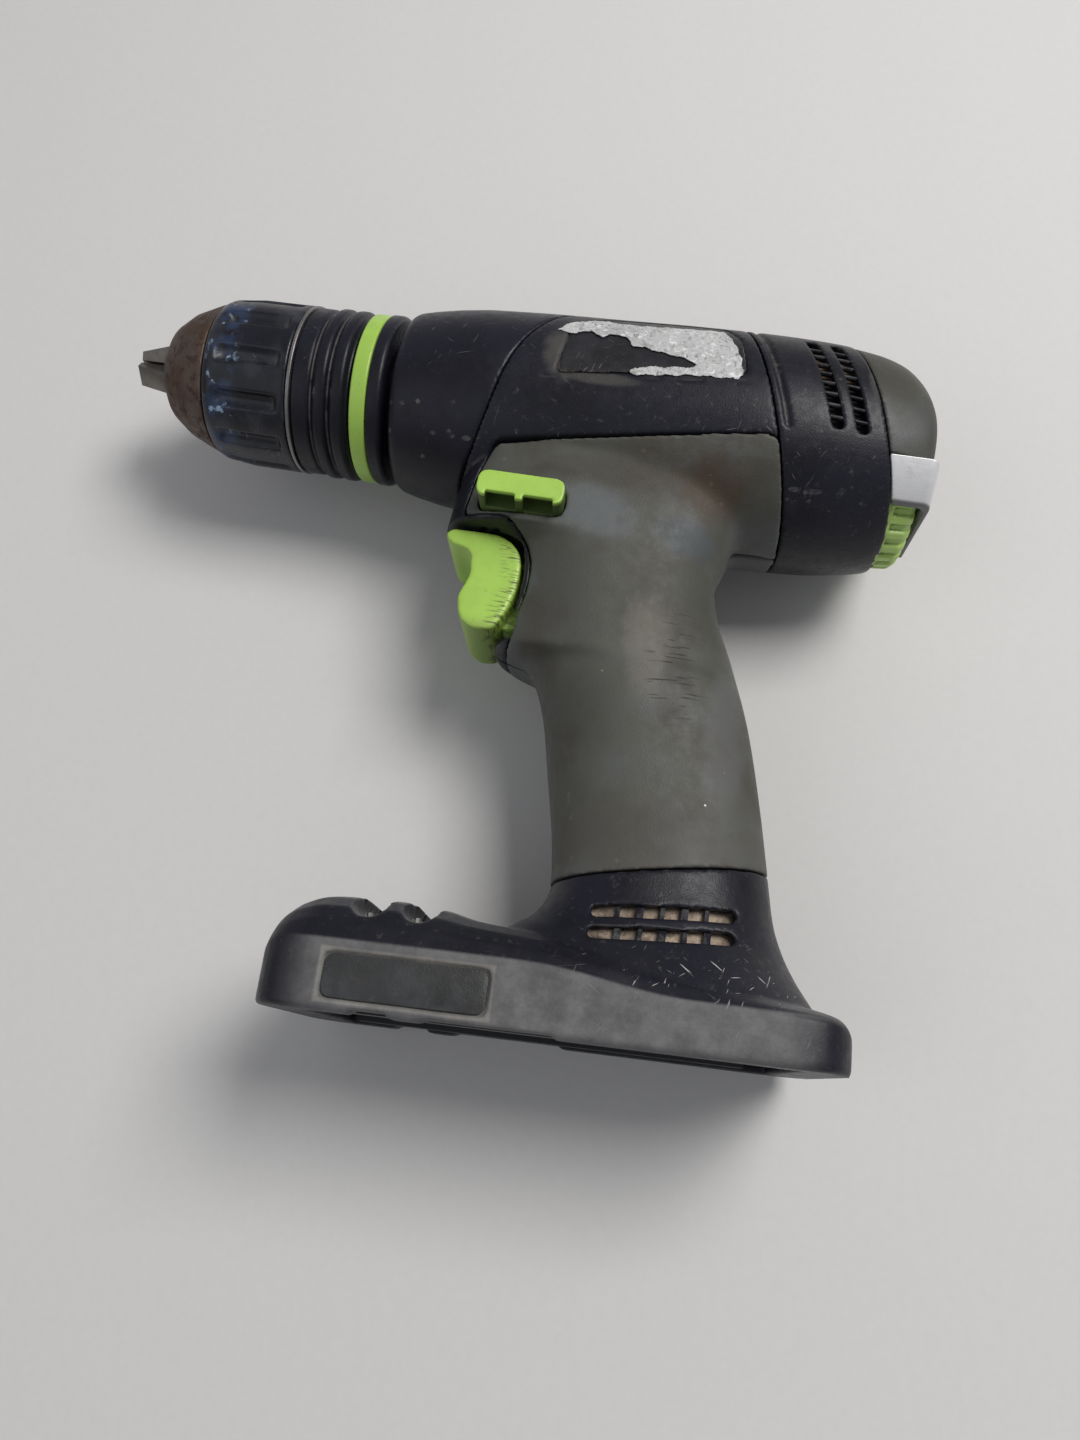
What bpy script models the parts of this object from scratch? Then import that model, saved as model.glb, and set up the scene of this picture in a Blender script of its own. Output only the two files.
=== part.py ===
"""Cordless drill on its foot, chuck towards -X, operator's side towards +X, +Z up.

Shapes are drawn in the tool frame: millimetres, X rearwards along the chuck's axis, Y across the
tool, Z up, origin on the axis at the rear edge of the chuck's sleeve. The empty "tool_frame" turns
that frame nose-up, so that the foot's underside lies flat on Z = 0.
"""

import math

import bmesh
import bpy
from mathutils import Matrix, Vector

MM = 0.001
GAP = 0.3
WELD = 1e-6

# Whole tool
NOSE_UP = math.radians(3.6)
AXIS_HEIGHT = 158.7
BOX_CENTRE = 55.4
WALL = 3.0
HALF_SPLIT = 0.15

# Chuck
CHUCK_R = 21.5
SLEEVE_FRONT = -22.9
SLEEVE_FLUTES = 12
NOSE_FRONT = -38.5
JAW_TIP = -47.3
JAW_TIP_R = 4.2
JAW_GRIP_END = -35.0
JAW_REAR = -24.0
JAW_ANGLE = math.radians(17)
JAW_HALF_WIDTH = 2.8
JAW_CLEAR = 0.4
JAW_TRAVEL = 20.5
CORE_R = 16.5
BORE_R = 6.4
COLLAR_REAR = 15.6
RELEASE_FRONT = 16.3
RELEASE_REAR = 20.6
LOCK_REAR = 24.3

# Gearbox and motor
SPINDLE_R = 7.5
SPINDLE_REAR = 50.0
PLANET_ORBIT = 11.0
PLANET_R = 5.7
SUN_R = 4.8
RING_INNER_R = 17.2
PLANETS = 3
MOTOR_FRONT = 74.0
MOTOR_REAR = 110.0
MOTOR_R = 18.0

# Head: distance along the axis, half width, half height, height of the centre
HEAD = (
    (36, 24.6, 24.6, 0.3),
    (46, 26.1, 26.1, 0.2),
    (58, 26.7, 26.7, 0.0),
    (80, 27.7, 27.7, -0.4),
    (100, 28.8, 28.8, -0.9),
    (118, 29.3, 29.3, -1.2),
    (132, 28.8, 28.8, -1.0),
    (143, 27.4, 27.4, -0.9),
    (149, 26.2, 25.8, -1.2),
    (153, 24.9, 23.3, -1.9),
    (156, 23.3, 19.8, -3.0),
    (157.6, 21.0, 15.8, -3.8),
    (158.2, 17.0, 10.5, -4.4),
)
RAKE = 0.31
GROOVE_REAR = 116.8
RIM_X = 142.8

# Slanting seam between the nose and the body, on the side of the head, as (x, z)
SEAM = (
    (40.0, -33.0),
    (44.5, -27.0),
    (49.0, -20.0),
    (52.0, -12.0),
    (54.6, -3.0),
    (58.0, 6.0),
    (63.0, 15.0),
    (72.0, 26.0),
    (78.0, 33.0),
)

# Handle: height, front, rear, half width, squareness of the section
HANDLE = (
    (-8, 58.0, 112.0, 19.5, 3.0),
    (-24, 46.6, 116.5, 20.2, 3.2),
    (-37.8, 45.2, 113.2, 19.6, 3.2),
    (-38.9, 54.5, 112.9, 19.6, 3.0),
    (-42.5, 62.0, 112.5, 19.6, 2.5),
    (-51, 62.6, 114.6, 19.5, 2.3),
    (-60, 62.0, 118.6, 19.3, 2.3),
    (-66.6, 62.6, 121.3, 19.1, 2.3),
    (-70.5, 72.0, 122.8, 19.0, 2.3),
    (-78, 76.2, 125.4, 18.8, 2.3),
    (-96, 81.2, 130.2, 18.9, 2.3),
    (-112, 85.0, 133.8, 19.6, 2.4),
    (-121, 86.2, 135.8, 20.8, 2.6),
    (-127, 83.8, 138.2, 22.8, 2.8),
    (-132, 78.0, 141.0, 26.0, 3.0),
    (-138, 74.0, 145.4, 30.0, 3.2),
)

# Foot: distance along it, half width, height of the upright side, height of the crown
FOOT = (
    (23.6, 22.0, 7.5, 9.0),
    (24.4, 26.0, 10.5, 14.5),
    (26.4, 29.6, 12.4, 18.6),
    (30.0, 32.0, 13.2, 21.4),
    (36.0, 33.0, 13.5, 22.9),
    (48.0, 33.0, 13.6, 23.0),
    (66.0, 33.0, 13.6, 22.2),
    (82.0, 33.0, 12.4, 21.4),
    (98.0, 33.0, 10.2, 19.0),
    (114.0, 33.0, 9.6, 15.6),
    (128.0, 33.0, 9.4, 13.0),
    (134.0, 32.0, 9.2, 12.2),
    (138.4, 29.0, 8.6, 11.2),
    (140.6, 25.0, 7.0, 9.0),
    (141.2, 22.0, 5.0, 6.0),
)
FOOT_CAVITY = (66.0, 108.0)
FOOT_CAVITY_FLOOR = 11.8
BIT_GROOVES = (44.1, 54.4)
BIT_GROOVE_R = 3.5
BATTERY_SLOT = ((34.0, 132.0), 24.0, 8.6)

# Rear end: profile of the dial as (x, radius), and the bezel on its left
DIAL_CENTRE_Z = -5.0
DIAL_PROFILE = ((148.6, 21.0), (154.8, 20.4), (156.0, 19.4), (156.4, 18.0))
DIAL_BORE_R = 3.0
DIAL_CLEAR = 0.4
BEZEL_TOP = -11.3
BEZEL_BOTTOM = -20.2
BEZEL_R = 26.9
BEZEL_THICK = 1.2
BEZEL_REAR = 158.4
BEZEL_REACH = 8.0

# Trigger and direction button
TRIGGER_HALF_WIDTH = 9.2
BUTTON_X = (54.0, 74.4)
BUTTON_Z = (-37.2, -30.6)
BUTTON_OUT = 24.8
BUTTON_IN = 18.3

# Side outline of the trigger, as (x, z)
TRIGGER = (
    (47.4, -40.6),
    (50.2, -39.8),
    (58.4, -39.8),
    (62.8, -41.5),
    (65.5, -44.9),
    (66.4, -50.4),
    (65.7, -56.8),
    (63.5, -64.0),
    (61.2, -66.0),
    (57.4, -66.2),
    (54.4, -63.8),
    (53.0, -60.0),
    (52.8, -56.4),
    (54.2, -51.6),
    (53.9, -46.2),
    (50.8, -42.6),
    (48.0, -41.4),
)

# Case screws on the right-hand side, as (x, z)
SCREWS = ((58.5, -14.0), (109.0, -12.0), (106.0, -54.0), (98.0, -90.0), (108.0, -113.0))
SCREW_HEAD_R = 2.6


# ---------------------------------------------------------------- scene and materials


def clear_scene():
    for obj in list(bpy.data.objects):
        bpy.data.objects.remove(obj, do_unlink=True)


def material(name, colour, roughness, metallic=0.0):
    made = bpy.data.materials.get(name)
    if made:
        return made
    made = bpy.data.materials.new(name)
    made.use_nodes = True
    shader = made.node_tree.nodes["Principled BSDF"]
    shader.inputs["Base Color"].default_value = (*colour, 1.0)
    shader.inputs["Roughness"].default_value = roughness
    shader.inputs["Metallic"].default_value = metallic
    return made


def black_plastic():
    return material("black_plastic", (0.025, 0.027, 0.038), 0.5)


def soft_grip():
    return material("soft_grip", (0.085, 0.085, 0.072), 0.75)


def green_plastic():
    return material("green_plastic", (0.37, 0.58, 0.10), 0.45)


def silver_plastic():
    return material("silver_plastic", (0.60, 0.60, 0.61), 0.35, 0.8)


def worn_steel():
    return material("worn_steel", (0.20, 0.13, 0.09), 0.6, 0.8)


def steel():
    return material("steel", (0.45, 0.44, 0.42), 0.35, 1.0)


def copper_red():
    return material("copper_red", (0.55, 0.27, 0.14), 0.4, 1.0)


def board_green():
    return material("board_green", (0.03, 0.16, 0.08), 0.5)


# ---------------------------------------------------------------- mesh building


def empty(name, parent=None, place=(0, 0, 0), turn=(0, 0, 0)):
    made = bpy.data.objects.new(name, None)
    bpy.context.collection.objects.link(made)
    made.parent = parent
    made.location = Vector(place) * MM
    made.rotation_euler = turn
    return made


def body(name, bm, sharp=35):
    """A linked object from a bmesh in millimetres, with clean outward normals."""
    bmesh.ops.scale(bm, vec=(MM, MM, MM), verts=bm.verts)
    bmesh.ops.remove_doubles(bm, verts=bm.verts, dist=WELD)
    bmesh.ops.recalc_face_normals(bm, faces=bm.faces)
    mesh = bpy.data.meshes.new(name)
    bm.to_mesh(mesh)
    bm.free()
    mesh.shade_smooth()
    mesh.set_sharp_from_angle(angle=math.radians(sharp))
    made = bpy.data.objects.new(name, mesh)
    bpy.context.collection.objects.link(made)
    return made


def turned(name, outline, steps=32, place=(0, 0, 0)):
    """A closed outline of (x, radius) points turned about X."""
    bm = bmesh.new()
    verts = [bm.verts.new((x, 0, r)) for x, r in outline]
    edges = []
    for first, second in zip(verts, verts[1:] + verts[:1]):
        if first.co.z > 0 or second.co.z > 0:
            edges.append(bm.edges.new((first, second)))
    bmesh.ops.spin(
        bm, geom=verts + edges, cent=(0, 0, 0), axis=(1, 0, 0), angle=math.tau, steps=steps
    )
    bmesh.ops.remove_doubles(bm, verts=bm.verts, dist=1e-3)
    bmesh.ops.translate(bm, vec=place, verts=bm.verts)
    return body(name, bm)


def tube(name, x0, x1, inner, outer, steps=32, place=(0, 0, 0)):
    return turned(name, ((x0, outer), (x1, outer), (x1, inner), (x0, inner)), steps, place)


def rod(name, x0, x1, radius, steps=20, place=(0, 0, 0)):
    return turned(name, ((x0, 0), (x0, radius), (x1, radius), (x1, 0)), steps, place)


def loft(name, loops):
    """Closed loops with equal point counts joined in order, with flat ends."""
    bm = bmesh.new()
    rings = [[bm.verts.new(p) for p in loop] for loop in loops]
    count = len(rings[0])
    for lower, upper in zip(rings, rings[1:]):
        for i in range(count):
            j = (i + 1) % count
            bm.faces.new((lower[i], lower[j], upper[j], upper[i]))
    bm.faces.new(rings[0])
    bm.faces.new(rings[-1])
    bmesh.ops.triangulate(bm, faces=bm.faces)
    return body(name, bm)


def prism(name, outline, y0, y1):
    """An outline of (x, z) points extruded across the tool."""
    return loft(name, [[(x, y, z) for x, z in outline] for y in (y0, y1)])


def block(name, low, high, bevel=0.0):
    bm = bmesh.new()
    bmesh.ops.create_cube(bm, size=1)
    size = Vector(high) - Vector(low)
    middle = (Vector(high) + Vector(low)) / 2
    bmesh.ops.scale(bm, vec=size, verts=bm.verts)
    bmesh.ops.translate(bm, vec=middle, verts=bm.verts)
    if bevel:
        bmesh.ops.bevel(
            bm, geom=list(bm.edges), offset=bevel, segments=1, profile=0.5, affect="EDGES"
        )
    return body(name, bm)


def boolean(target, other, operation, keep=False):
    """Applies one exact Boolean, and removes the other object unless it is kept."""
    modifier = target.modifiers.new(operation, "BOOLEAN")
    modifier.operation = operation
    modifier.object = other
    modifier.solver = "EXACT"
    graph = bpy.context.evaluated_depsgraph_get()
    mesh = bpy.data.meshes.new_from_object(target.evaluated_get(graph))
    target.modifiers.clear()
    target.data = mesh
    if not keep:
        bpy.data.objects.remove(other, do_unlink=True)
    return target


def cut(target, other, keep=False):
    return boolean(target, other, "DIFFERENCE", keep)


def join(target, other):
    return boolean(target, other, "UNION")


def common(target, other, keep=False):
    return boolean(target, other, "INTERSECT", keep)


def copy_of(source, name):
    made = bpy.data.objects.new(name, source.data.copy())
    bpy.context.collection.objects.link(made)
    return made


def node(obj, look, parent, pivot=(0, 0, 0)):
    """Names the finished sub-part's looks and hangs it on its parent, origin on the pivot."""
    obj.data.name = obj.name
    obj.data.materials.clear()
    obj.data.materials.append(look)
    obj.data.transform(Matrix.Translation(-Vector(pivot) * MM))
    obj.parent = parent
    obj.location = (Vector(pivot) - parent_pivot(parent)) * MM
    return obj


def parent_pivot(parent):
    return Vector(parent.get("pivot", (0, 0, 0)))


def pivot_empty(name, parent, pivot):
    """An empty on a joint's axis; its children are placed from that point."""
    made = empty(name, parent, Vector(pivot) - parent_pivot(parent))
    made["pivot"] = tuple(float(v) for v in pivot)
    return made


# ---------------------------------------------------------------- body shapes


def foot_point(s, y, h):
    """Tool-frame point s along the foot, y across it and h above its underside."""
    along = Vector((math.cos(NOSE_UP), 0, math.sin(NOSE_UP)))
    up = Vector((-math.sin(NOSE_UP), 0, math.cos(NOSE_UP)))
    return along * s + up * (h - AXIS_HEIGHT) + Vector((0, y, 0))


def rounded_loop(half_x, half_y, power, count):
    """Points of a superellipse, starting at +x."""
    points = []
    for i in range(count):
        angle = math.tau * i / count
        c, s = math.cos(angle), math.sin(angle)
        points.append(
            (
                half_x * math.copysign(abs(c) ** (2 / power), c),
                half_y * math.copysign(abs(s) ** (2 / power), s),
            )
        )
    return points


def head_solid(name, inset, first=0, last=len(HEAD), count=28):
    loops = []
    for x, half_y, half_z, centre in HEAD[first:last]:
        section = rounded_loop(half_y - inset, half_z - inset, 2.0, count)
        loops.append([(x, y, centre + z) for y, z in section])
    return loft(name, loops)


def handle_solid(name, inset, first=0, last=len(HANDLE), count=20):
    loops = []
    for z, front, rear, half, power in HANDLE[first:last]:
        middle = (front + rear) / 2
        depth = (rear - front) / 2 - inset
        section = rounded_loop(depth, half - inset, power, count)
        loops.append([(middle + x, y, z) for x, y in section])
    return loft(name, loops)


def foot_loop(s, half, side, crown):
    """Section across the foot: flat underside, upright sides, sloping shoulders, crown."""
    right = [
        (half - 1.0, 0.0),
        (half, 1.0),
        (half, side),
        (half - 1.6, side + 0.35 * (crown - side)),
        (half * 0.72, side + 0.86 * (crown - side)),
        (half * 0.36, crown - 0.15),
    ]
    left = [(-y, h) for y, h in reversed(right)]
    return [foot_point(s, y, h) for y, h in right + left]


def foot_solid(name):
    return loft(name, [foot_loop(*station) for station in FOOT])


def foot_cavity(name):
    s0, s1 = FOOT_CAVITY
    low = FOOT_CAVITY_FLOOR
    tops = (18.6, 16.0)
    loops = []
    for s, top in zip((s0, s1), tops):
        loops.append([foot_point(s, y, h) for y, h in ((-26, low), (26, low), (19, top), (-19, top))])
    return join(loft(name, loops), foot_block("wire_way", 84, 106, -13, 13, low + 1, 27))


def foot_block(name, s0, s1, y0, y1, h0, h1):
    loops = []
    for s in (s0, s1):
        loops.append([foot_point(s, y, h) for y, h in ((y0, h0), (y1, h0), (y1, h1), (y0, h1))])
    return loft(name, loops)


def raked_half(name, x_at_axis, side, reach=60.0):
    """Everything in front of (side -1) or behind (side +1) a raked plane across the head."""
    z0, z1 = -50.0, 50.0
    return prism(
        name,
        (
            (x_at_axis - RAKE * z0, z0),
            (x_at_axis - RAKE * z1, z1),
            (x_at_axis - RAKE * z1 + side * reach, z1),
            (x_at_axis - RAKE * z0 + side * reach, z0),
        ),
        -50,
        50,
    )


def seam_side(name, shift, side):
    """Everything ahead of (side -1) or behind (side +1) the slanting seam of the nose."""
    edge = [(x + shift, z) for x, z in SEAM]
    far = side * 80.0
    return prism(name, [*edge, (78 + far, 40), (40 + far, -45), (38 + shift, -45)], -50, 50)


def grip_outline(shrink):
    """Side outline of the soft grip: head seam, trigger edge, handle, lower edge, rear edge."""
    s = shrink
    return (
        (54.6 + s, -18.8 - s),
        (52.0 + s, -27.5),
        (50.6 + s, -38.45 + s),
        (61.2, -38.45 + s),
        (66.6 + s, -41.4 + s),
        (69.0 + s, -47.5),
        (69.2 + s, -54.5),
        (67.6 + s, -62.5),
        (67.2 + s, -67.9),
        (60.0, -69.9),
        (60.0, -125.6 + s),
        (150.0, -106.4 + s),
        (150.0, -30.0),
        (GROOVE_REAR + 30 * RAKE, -30.0),
        (GROOVE_REAR + 12.4 * RAKE, -12.4 - s),
        (84.0, -16.0 - s),
    )


# ---------------------------------------------------------------- housing


def tool_body(name, inset):
    """Head, handle and, on the outside only, the foot, as one solid."""
    solid = head_solid(name, inset, 0, 8)
    stations = len(HANDLE) if inset == 0 else len(HANDLE) - 1
    return join(solid, handle_solid("handle_tool", inset, 0, stations))


def trigger_space(name):
    """Everything ahead of the curved edge behind the trigger, and the window for its stem."""
    edge = ((58.6, -39.2), (63.5, -41.0), (66.4, -44.6), (67.3, -50.4), (66.6, -57.0), (64.4, -64.6))
    half = TRIGGER_HALF_WIDTH + 0.6
    space = prism(name, ((40, -39.2), *edge, (61.6, -67.0), (40, -67.0)), -40, 40)
    return join(space, block("window", (50, -half, -66.6), (77, half, -39.5)))


def button_window(name):
    return block(
        name,
        (BUTTON_X[0] - GAP, -40, BUTTON_Z[0] - GAP),
        (BUTTON_X[1] + GAP, 40, BUTTON_Z[1] + GAP),
    )


def handle_vent(name, row, side):
    """One rounded vent slot low on the handle, sloping with the foot."""
    x0, x1 = 97.8, 124.4
    z0 = -126.4 - 4.9 * row
    rise = 4.0
    half = 1.4
    outline = (
        (x0, z0 - half),
        (x1, z0 + rise - half),
        (x1 + half, z0 + rise),
        (x1, z0 + rise + half),
        (x0, z0 + half),
        (x0 - half, z0),
    )
    return prism(name, outline, 12 * side, 40 * side)


def half_space(side):
    """Everything to one side of the middle, less half the seam between the two mouldings."""
    y0, y1 = sorted((side * HALF_SPLIT, side * 100.0))
    return block("half_space", (-100, y0, -250), (300, y1, 100))


def housing_halves(root):
    outer = join(tool_body("outer", 0), foot_solid("foot_outer"))
    cut(outer, seam_side("nose_space", 0.2, -1))
    cut(outer, raked_half("rear_space", GROOVE_REAR, 1))
    hollow = tool_body("hollow", WALL)
    cut(outer, hollow)
    cut(outer, foot_cavity("foot_hollow"))
    (s0, s1), half, depth = BATTERY_SLOT
    cut(outer, foot_block("battery_slot", s0, s1, -half, half, -5, depth))
    for i, s in enumerate(BIT_GROOVES):
        centre = foot_point(s, 0, 21.4)
        cut(outer, across(rod(f"groove_{i}", -45, 45, BIT_GROOVE_R, 16), *centre))
    cut(outer, trigger_space("trigger_space"))
    cut(outer, button_window("button_window"))
    for side in (-1, 1):
        for row in (0, 1):
            cut(outer, handle_vent(f"vent_{side}_{row}", row, side))
    core = tool_body("grip_core", 2.0 + GAP)
    zone = prism("grip_zone", grip_outline(-GAP), -60, 60)
    cut(zone, core)
    cut(outer, zone)
    cut(outer, block("selector_window", (84.5, -6.4, 20), (104.5, 6.4, 40)))
    for side in (-1, 1):
        recess = plate_zone("recess", side, -GAP)
        cut(recess, head_solid("recess_floor", 1.0, 0, 8))
        cut(outer, recess)
        cut(outer, foot_plate_block("foot_recess", side, GAP, 1.0, -5.0))
    for x, z in SCREWS:
        cut(outer, screw_hole(x, z))
    for side, label in ((-1, "left"), (1, "right")):
        half_body = copy_of(outer, f"housing_{label}")
        common(half_body, half_space(side))
        node(half_body, black_plastic(), root)
    bpy.data.objects.remove(outer, do_unlink=True)


def grips(root):
    skin = tool_body("skin", 0)
    common(skin, prism("grip_zone", grip_outline(0), -60, 60))
    cut(skin, tool_body("grip_core", 2.0))
    cut(skin, raked_half("rear_space", GROOVE_REAR, 1))
    cut(skin, button_window("button_window"))
    cut(skin, trigger_space("trigger_space"))
    for x, z in SCREWS:
        cut(skin, screw_hole(x, z))
    for side, label in ((-1, "left"), (1, "right")):
        half_skin = copy_of(skin, f"grip_{label}")
        common(half_skin, half_space(side))
        node(half_skin, soft_grip(), root)
    bpy.data.objects.remove(skin, do_unlink=True)


def nose_housing(root):
    outline = (
        (21.6, 14.4),
        (26.4, 14.4),
        (26.4, 21.6),
        (28.0, 22.9),
        (32.4, 23.9),
        (38.0, 24.9),
        (46.0, 25.9),
        (80.0, 27.5),
        (80.0, 23.4),
        (46.0, 22.8),
        (44.0, 16.0),
        (29.0, 16.0),
        (29.0, 9.5),
        (21.6, 9.5),
    )
    shell = turned("nose_housing", outline)
    cut(shell, seam_side("body_space", -0.2, 1))
    node(shell, black_plastic(), root)


def rear_housing(root):
    shell = head_solid("rear_housing", 0, 4, 10)
    cut(shell, head_solid("rear_hollow", WALL - 0.4, 3, 11))
    cut(shell, raked_half("front_space", GROOVE_REAR + GAP, -1))
    cut(shell, raked_half("cap_space", RIM_X, 1))
    cut(shell, dial_space("dial_space"))
    for side in (-1, 1):
        for x in (131.2, 137.0):
            cut(shell, raked_slot(f"slot_{side}_{x}", x, side))
    node(shell, black_plastic(), root)


def dial_space(name):
    """Room for the dial, with running clearance all round."""
    low = [(DIAL_PROFILE[0][0] - DIAL_CLEAR, 0.0)]
    outer = [(x + DIAL_CLEAR, r + DIAL_CLEAR) for x, r in DIAL_PROFILE]
    outer[0] = (low[0][0], outer[0][1])
    return turned(name, low + outer + [(outer[-1][0], 0.0)], 40, (0, 0, DIAL_CENTRE_Z))


def raked_slot(name, x, side):
    half = 1.4
    z0, z1 = -9.0, 18.0
    outline = (
        (x - half - RAKE * z0, z0),
        (x + half - RAKE * z0, z0),
        (x + half - RAKE * z1, z1),
        (x - half - RAKE * z1, z1),
    )
    return prism(name, outline, 8 * side, 40 * side)


def rear_cap(root):
    dome = head_solid("rear_cap", 0.1, 6)
    cut(dome, head_solid("cap_hollow", WALL - 0.4, 5, 11))
    cut(dome, dial_space("dial_space"))
    cut(dome, raked_half("front_space", RIM_X + GAP, -1))
    cut(dome, block("below", (100, -50, -60), (200, 50, BEZEL_TOP)))
    node(dome, soft_grip(), root)


def rear_bezel(root):
    """Bright trim round the left-hand rear corner, from the housing's rim past the middle."""
    inner = BEZEL_R - BEZEL_THICK
    outline = (
        (145.0, BEZEL_R),
        (155.4, BEZEL_R),
        (157.4, BEZEL_R - 0.8),
        (BEZEL_REAR, BEZEL_R - 2.4),
        (BEZEL_REAR, 0.0),
        (BEZEL_REAR - BEZEL_THICK, 0.0),
        (BEZEL_REAR - BEZEL_THICK, inner - 2.0),
        (155.4, inner),
        (145.0, inner),
    )
    cup = turned("rear_bezel", outline, 48)
    low, high = BEZEL_BOTTOM, BEZEL_TOP - GAP
    common(cup, block("band", (140, -40, low), (170, BEZEL_REACH, high)))
    cut(cup, raked_half("front_space", RIM_X + GAP, -1))
    node(cup, silver_plastic(), root)


def torque_dial(root):
    pivot = (152.0, 0, DIAL_CENTRE_Z)
    hinge = pivot_empty("torque_dial_axis", root, pivot)
    front, rear = DIAL_PROFILE[0][0], DIAL_PROFILE[-1][0]
    outline = ((front, DIAL_BORE_R), *DIAL_PROFILE, (rear, DIAL_BORE_R))
    wheel = turned("torque_dial", outline, 40, (0, 0, DIAL_CENTRE_Z))
    node(wheel, green_plastic(), hinge, pivot)


def plate_zone(name, side, shrink):
    """Side outline of the label recess high on the head."""
    g = shrink
    outline = (
        (67.0 + g, -3.2 + g),
        (111.6 - g, 1.0 + g),
        (109.6 - g, 13.0),
        (105.0 - g, 19.5 - g),
        (79.0, 19.0 - g),
        (68.5 + g, 13.0),
    )
    return prism(name, outline, 5 * side, 50 * side)


def side_plates(root):
    """Thin blank plates in the recess high on each side of the head."""
    for side, label in ((-1, "left"), (1, "right")):
        plate = head_solid(f"side_plate_{label}", 0.1, 1, 6)
        cut(plate, head_solid("plate_core", 1.0 - GAP, 0, 7))
        common(plate, plate_zone("plate_zone", side, 0))
        node(plate, black_plastic(), root)


def foot_plate_block(name, side, grow, depth, proud):
    """A block on the foot's upright side, sunk by depth and ending short of the wall by proud."""
    y0, y1 = sorted((side * (33.0 - depth), side * (33.0 - proud)))
    return foot_block(name, 38.5 - grow, 70.5 + grow, y0, y1, 2.6 - grow, 11.0 + grow)


def foot_plates(root):
    """Rounded blank plates let into the foot's upright sides."""
    for side, label in ((-1, "left"), (1, "right")):
        plate = foot_plate_block(f"foot_plate_{label}", side, 0, 1.0 - GAP, 0.1)
        node(plate, black_plastic(), root)


def battery_dock(root):
    for side, label in ((-1, "left"), (1, "right")):
        y0, y1 = sorted((side * 17.5, side * (24.0 - GAP)))
        rail = foot_block(f"battery_rail_{label}", 36.0, 126.0, y0, y1, 0.6, 3.4)
        rib_y = sorted((side * 20.5, side * (24.0 - GAP)))
        join(rail, foot_block("rib", 36.4, 125.6, rib_y[0], rib_y[1], 3.0, 8.6 - GAP))
        node(rail, black_plastic(), root)
    terminal = foot_block("terminal_block", 96.0, 116.0, -11, 11, 3.6, 8.6 - GAP)
    for y in (-7.5, -2.5, 2.5, 7.5):
        join(terminal, foot_block("blade", 84.0, 97.0, y - 0.5, y + 0.5, 4.6, 8.0))
    node(terminal, black_plastic(), root)


def bit_clips(root):
    """Spring troughs lining the two bit grooves on the foot."""
    for i, s in enumerate(BIT_GROOVES):
        centre = foot_point(s, 0, 21.4)
        trough = tube(f"bit_clip_{i + 1}", -12, 12, BIT_GROOVE_R - 1.1, BIT_GROOVE_R - GAP, 16)
        cut(trough, block("open_top", (-20, -6, 0.4), (20, 6, 8)))
        node(across(trough, *centre), steel(), root)


def side_reach(x, z):
    """How far the outer surface reaches across at a place on the head or the handle."""
    if z > -20:
        radius, centre = 27.0, -0.6
        return math.sqrt(radius**2 - (z - centre) ** 2)
    return 18.2


def screw_hole(x, z):
    """A counterbore through the right-hand wall, with the screw's head and 0.3 mm all round."""
    hole = rod("screw_hole", 0, 30, SCREW_HEAD_R + GAP, 12)
    return across(hole, x, side_reach(x, z) - 5.8, z)


def across(obj, x, y, z):
    """Turns something built along +X to lie along +Y, and puts it in place."""
    obj.data.transform(Matrix.Rotation(math.pi / 2, 4, "Z"))
    obj.data.transform(Matrix.Translation(Vector((x, y, z)) * MM))
    return obj


def case_screws(root):
    """Screws sunk in the right-hand side, one node each."""
    for i, (x, z) in enumerate(SCREWS):
        head = SCREW_HEAD_R
        outline = ((0, 0), (0, 1.3), (3.2, 1.4), (3.2, head), (4.8, head), (4.8, 0))
        screw = turned(f"case_screw_{i + 1}", outline, 12)
        node(across(screw, x, side_reach(x, z) - 5.3, z), steel(), root)


# ---------------------------------------------------------------- chuck and drive line


def fluted_sleeve(parent):
    outline = (
        (SLEEVE_FRONT, 18.0),
        (SLEEVE_FRONT, 19.7),
        (-21.0, 20.6),
        (-14.0, 21.4),
        (-0.4, CHUCK_R),
        (-0.4, 18.0),
    )
    sleeve = turned("chuck_sleeve", outline, 48)
    for i in range(SLEEVE_FLUTES):
        flute = rod("flute", -21.5, -4.0, 1.7, 6, (0, 0, CHUCK_R + 0.5))
        flute.data.transform(Matrix.Rotation(math.tau * (i + 0.5) / SLEEVE_FLUTES, 4, "X"))
        cut(sleeve, flute)
    node(sleeve, black_plastic(), parent)
    node(tube("sleeve_ring", -0.1, 0.8, 18.0, CHUCK_R + 0.1, 32), steel(), parent)


def jaw_outline(grow=0.0, rear_shift=0.0):
    """Side view of a jaw: axial gripping face, slanting back, square rear end."""
    slope = math.tan(JAW_ANGLE)
    top_rear = JAW_TIP_R + (JAW_REAR - JAW_TIP) * slope
    rear_low_x = JAW_REAR + 2.0
    rear_low_r = 0.45 + (rear_low_x - JAW_GRIP_END) * slope
    shift = Vector((rear_shift, rear_shift * slope))
    return (
        (JAW_TIP - 4 * grow, 0.45 - grow),
        (JAW_TIP - 4 * grow, JAW_TIP_R + grow - 4 * grow * slope),
        (JAW_REAR + shift.x + grow, top_rear + shift.y + grow * (1 + slope)),
        (rear_low_x + shift.x + grow, rear_low_r + shift.y - grow),
        (JAW_GRIP_END, 0.45 - grow),
    )


def jaw_solid(name, angle, grow=0.0, rear_shift=0.0):
    half = JAW_HALF_WIDTH + grow
    solid = prism(name, jaw_outline(grow, rear_shift), -half, half)
    solid.data.transform(Matrix.Rotation(angle, 4, "X"))
    return solid


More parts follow.
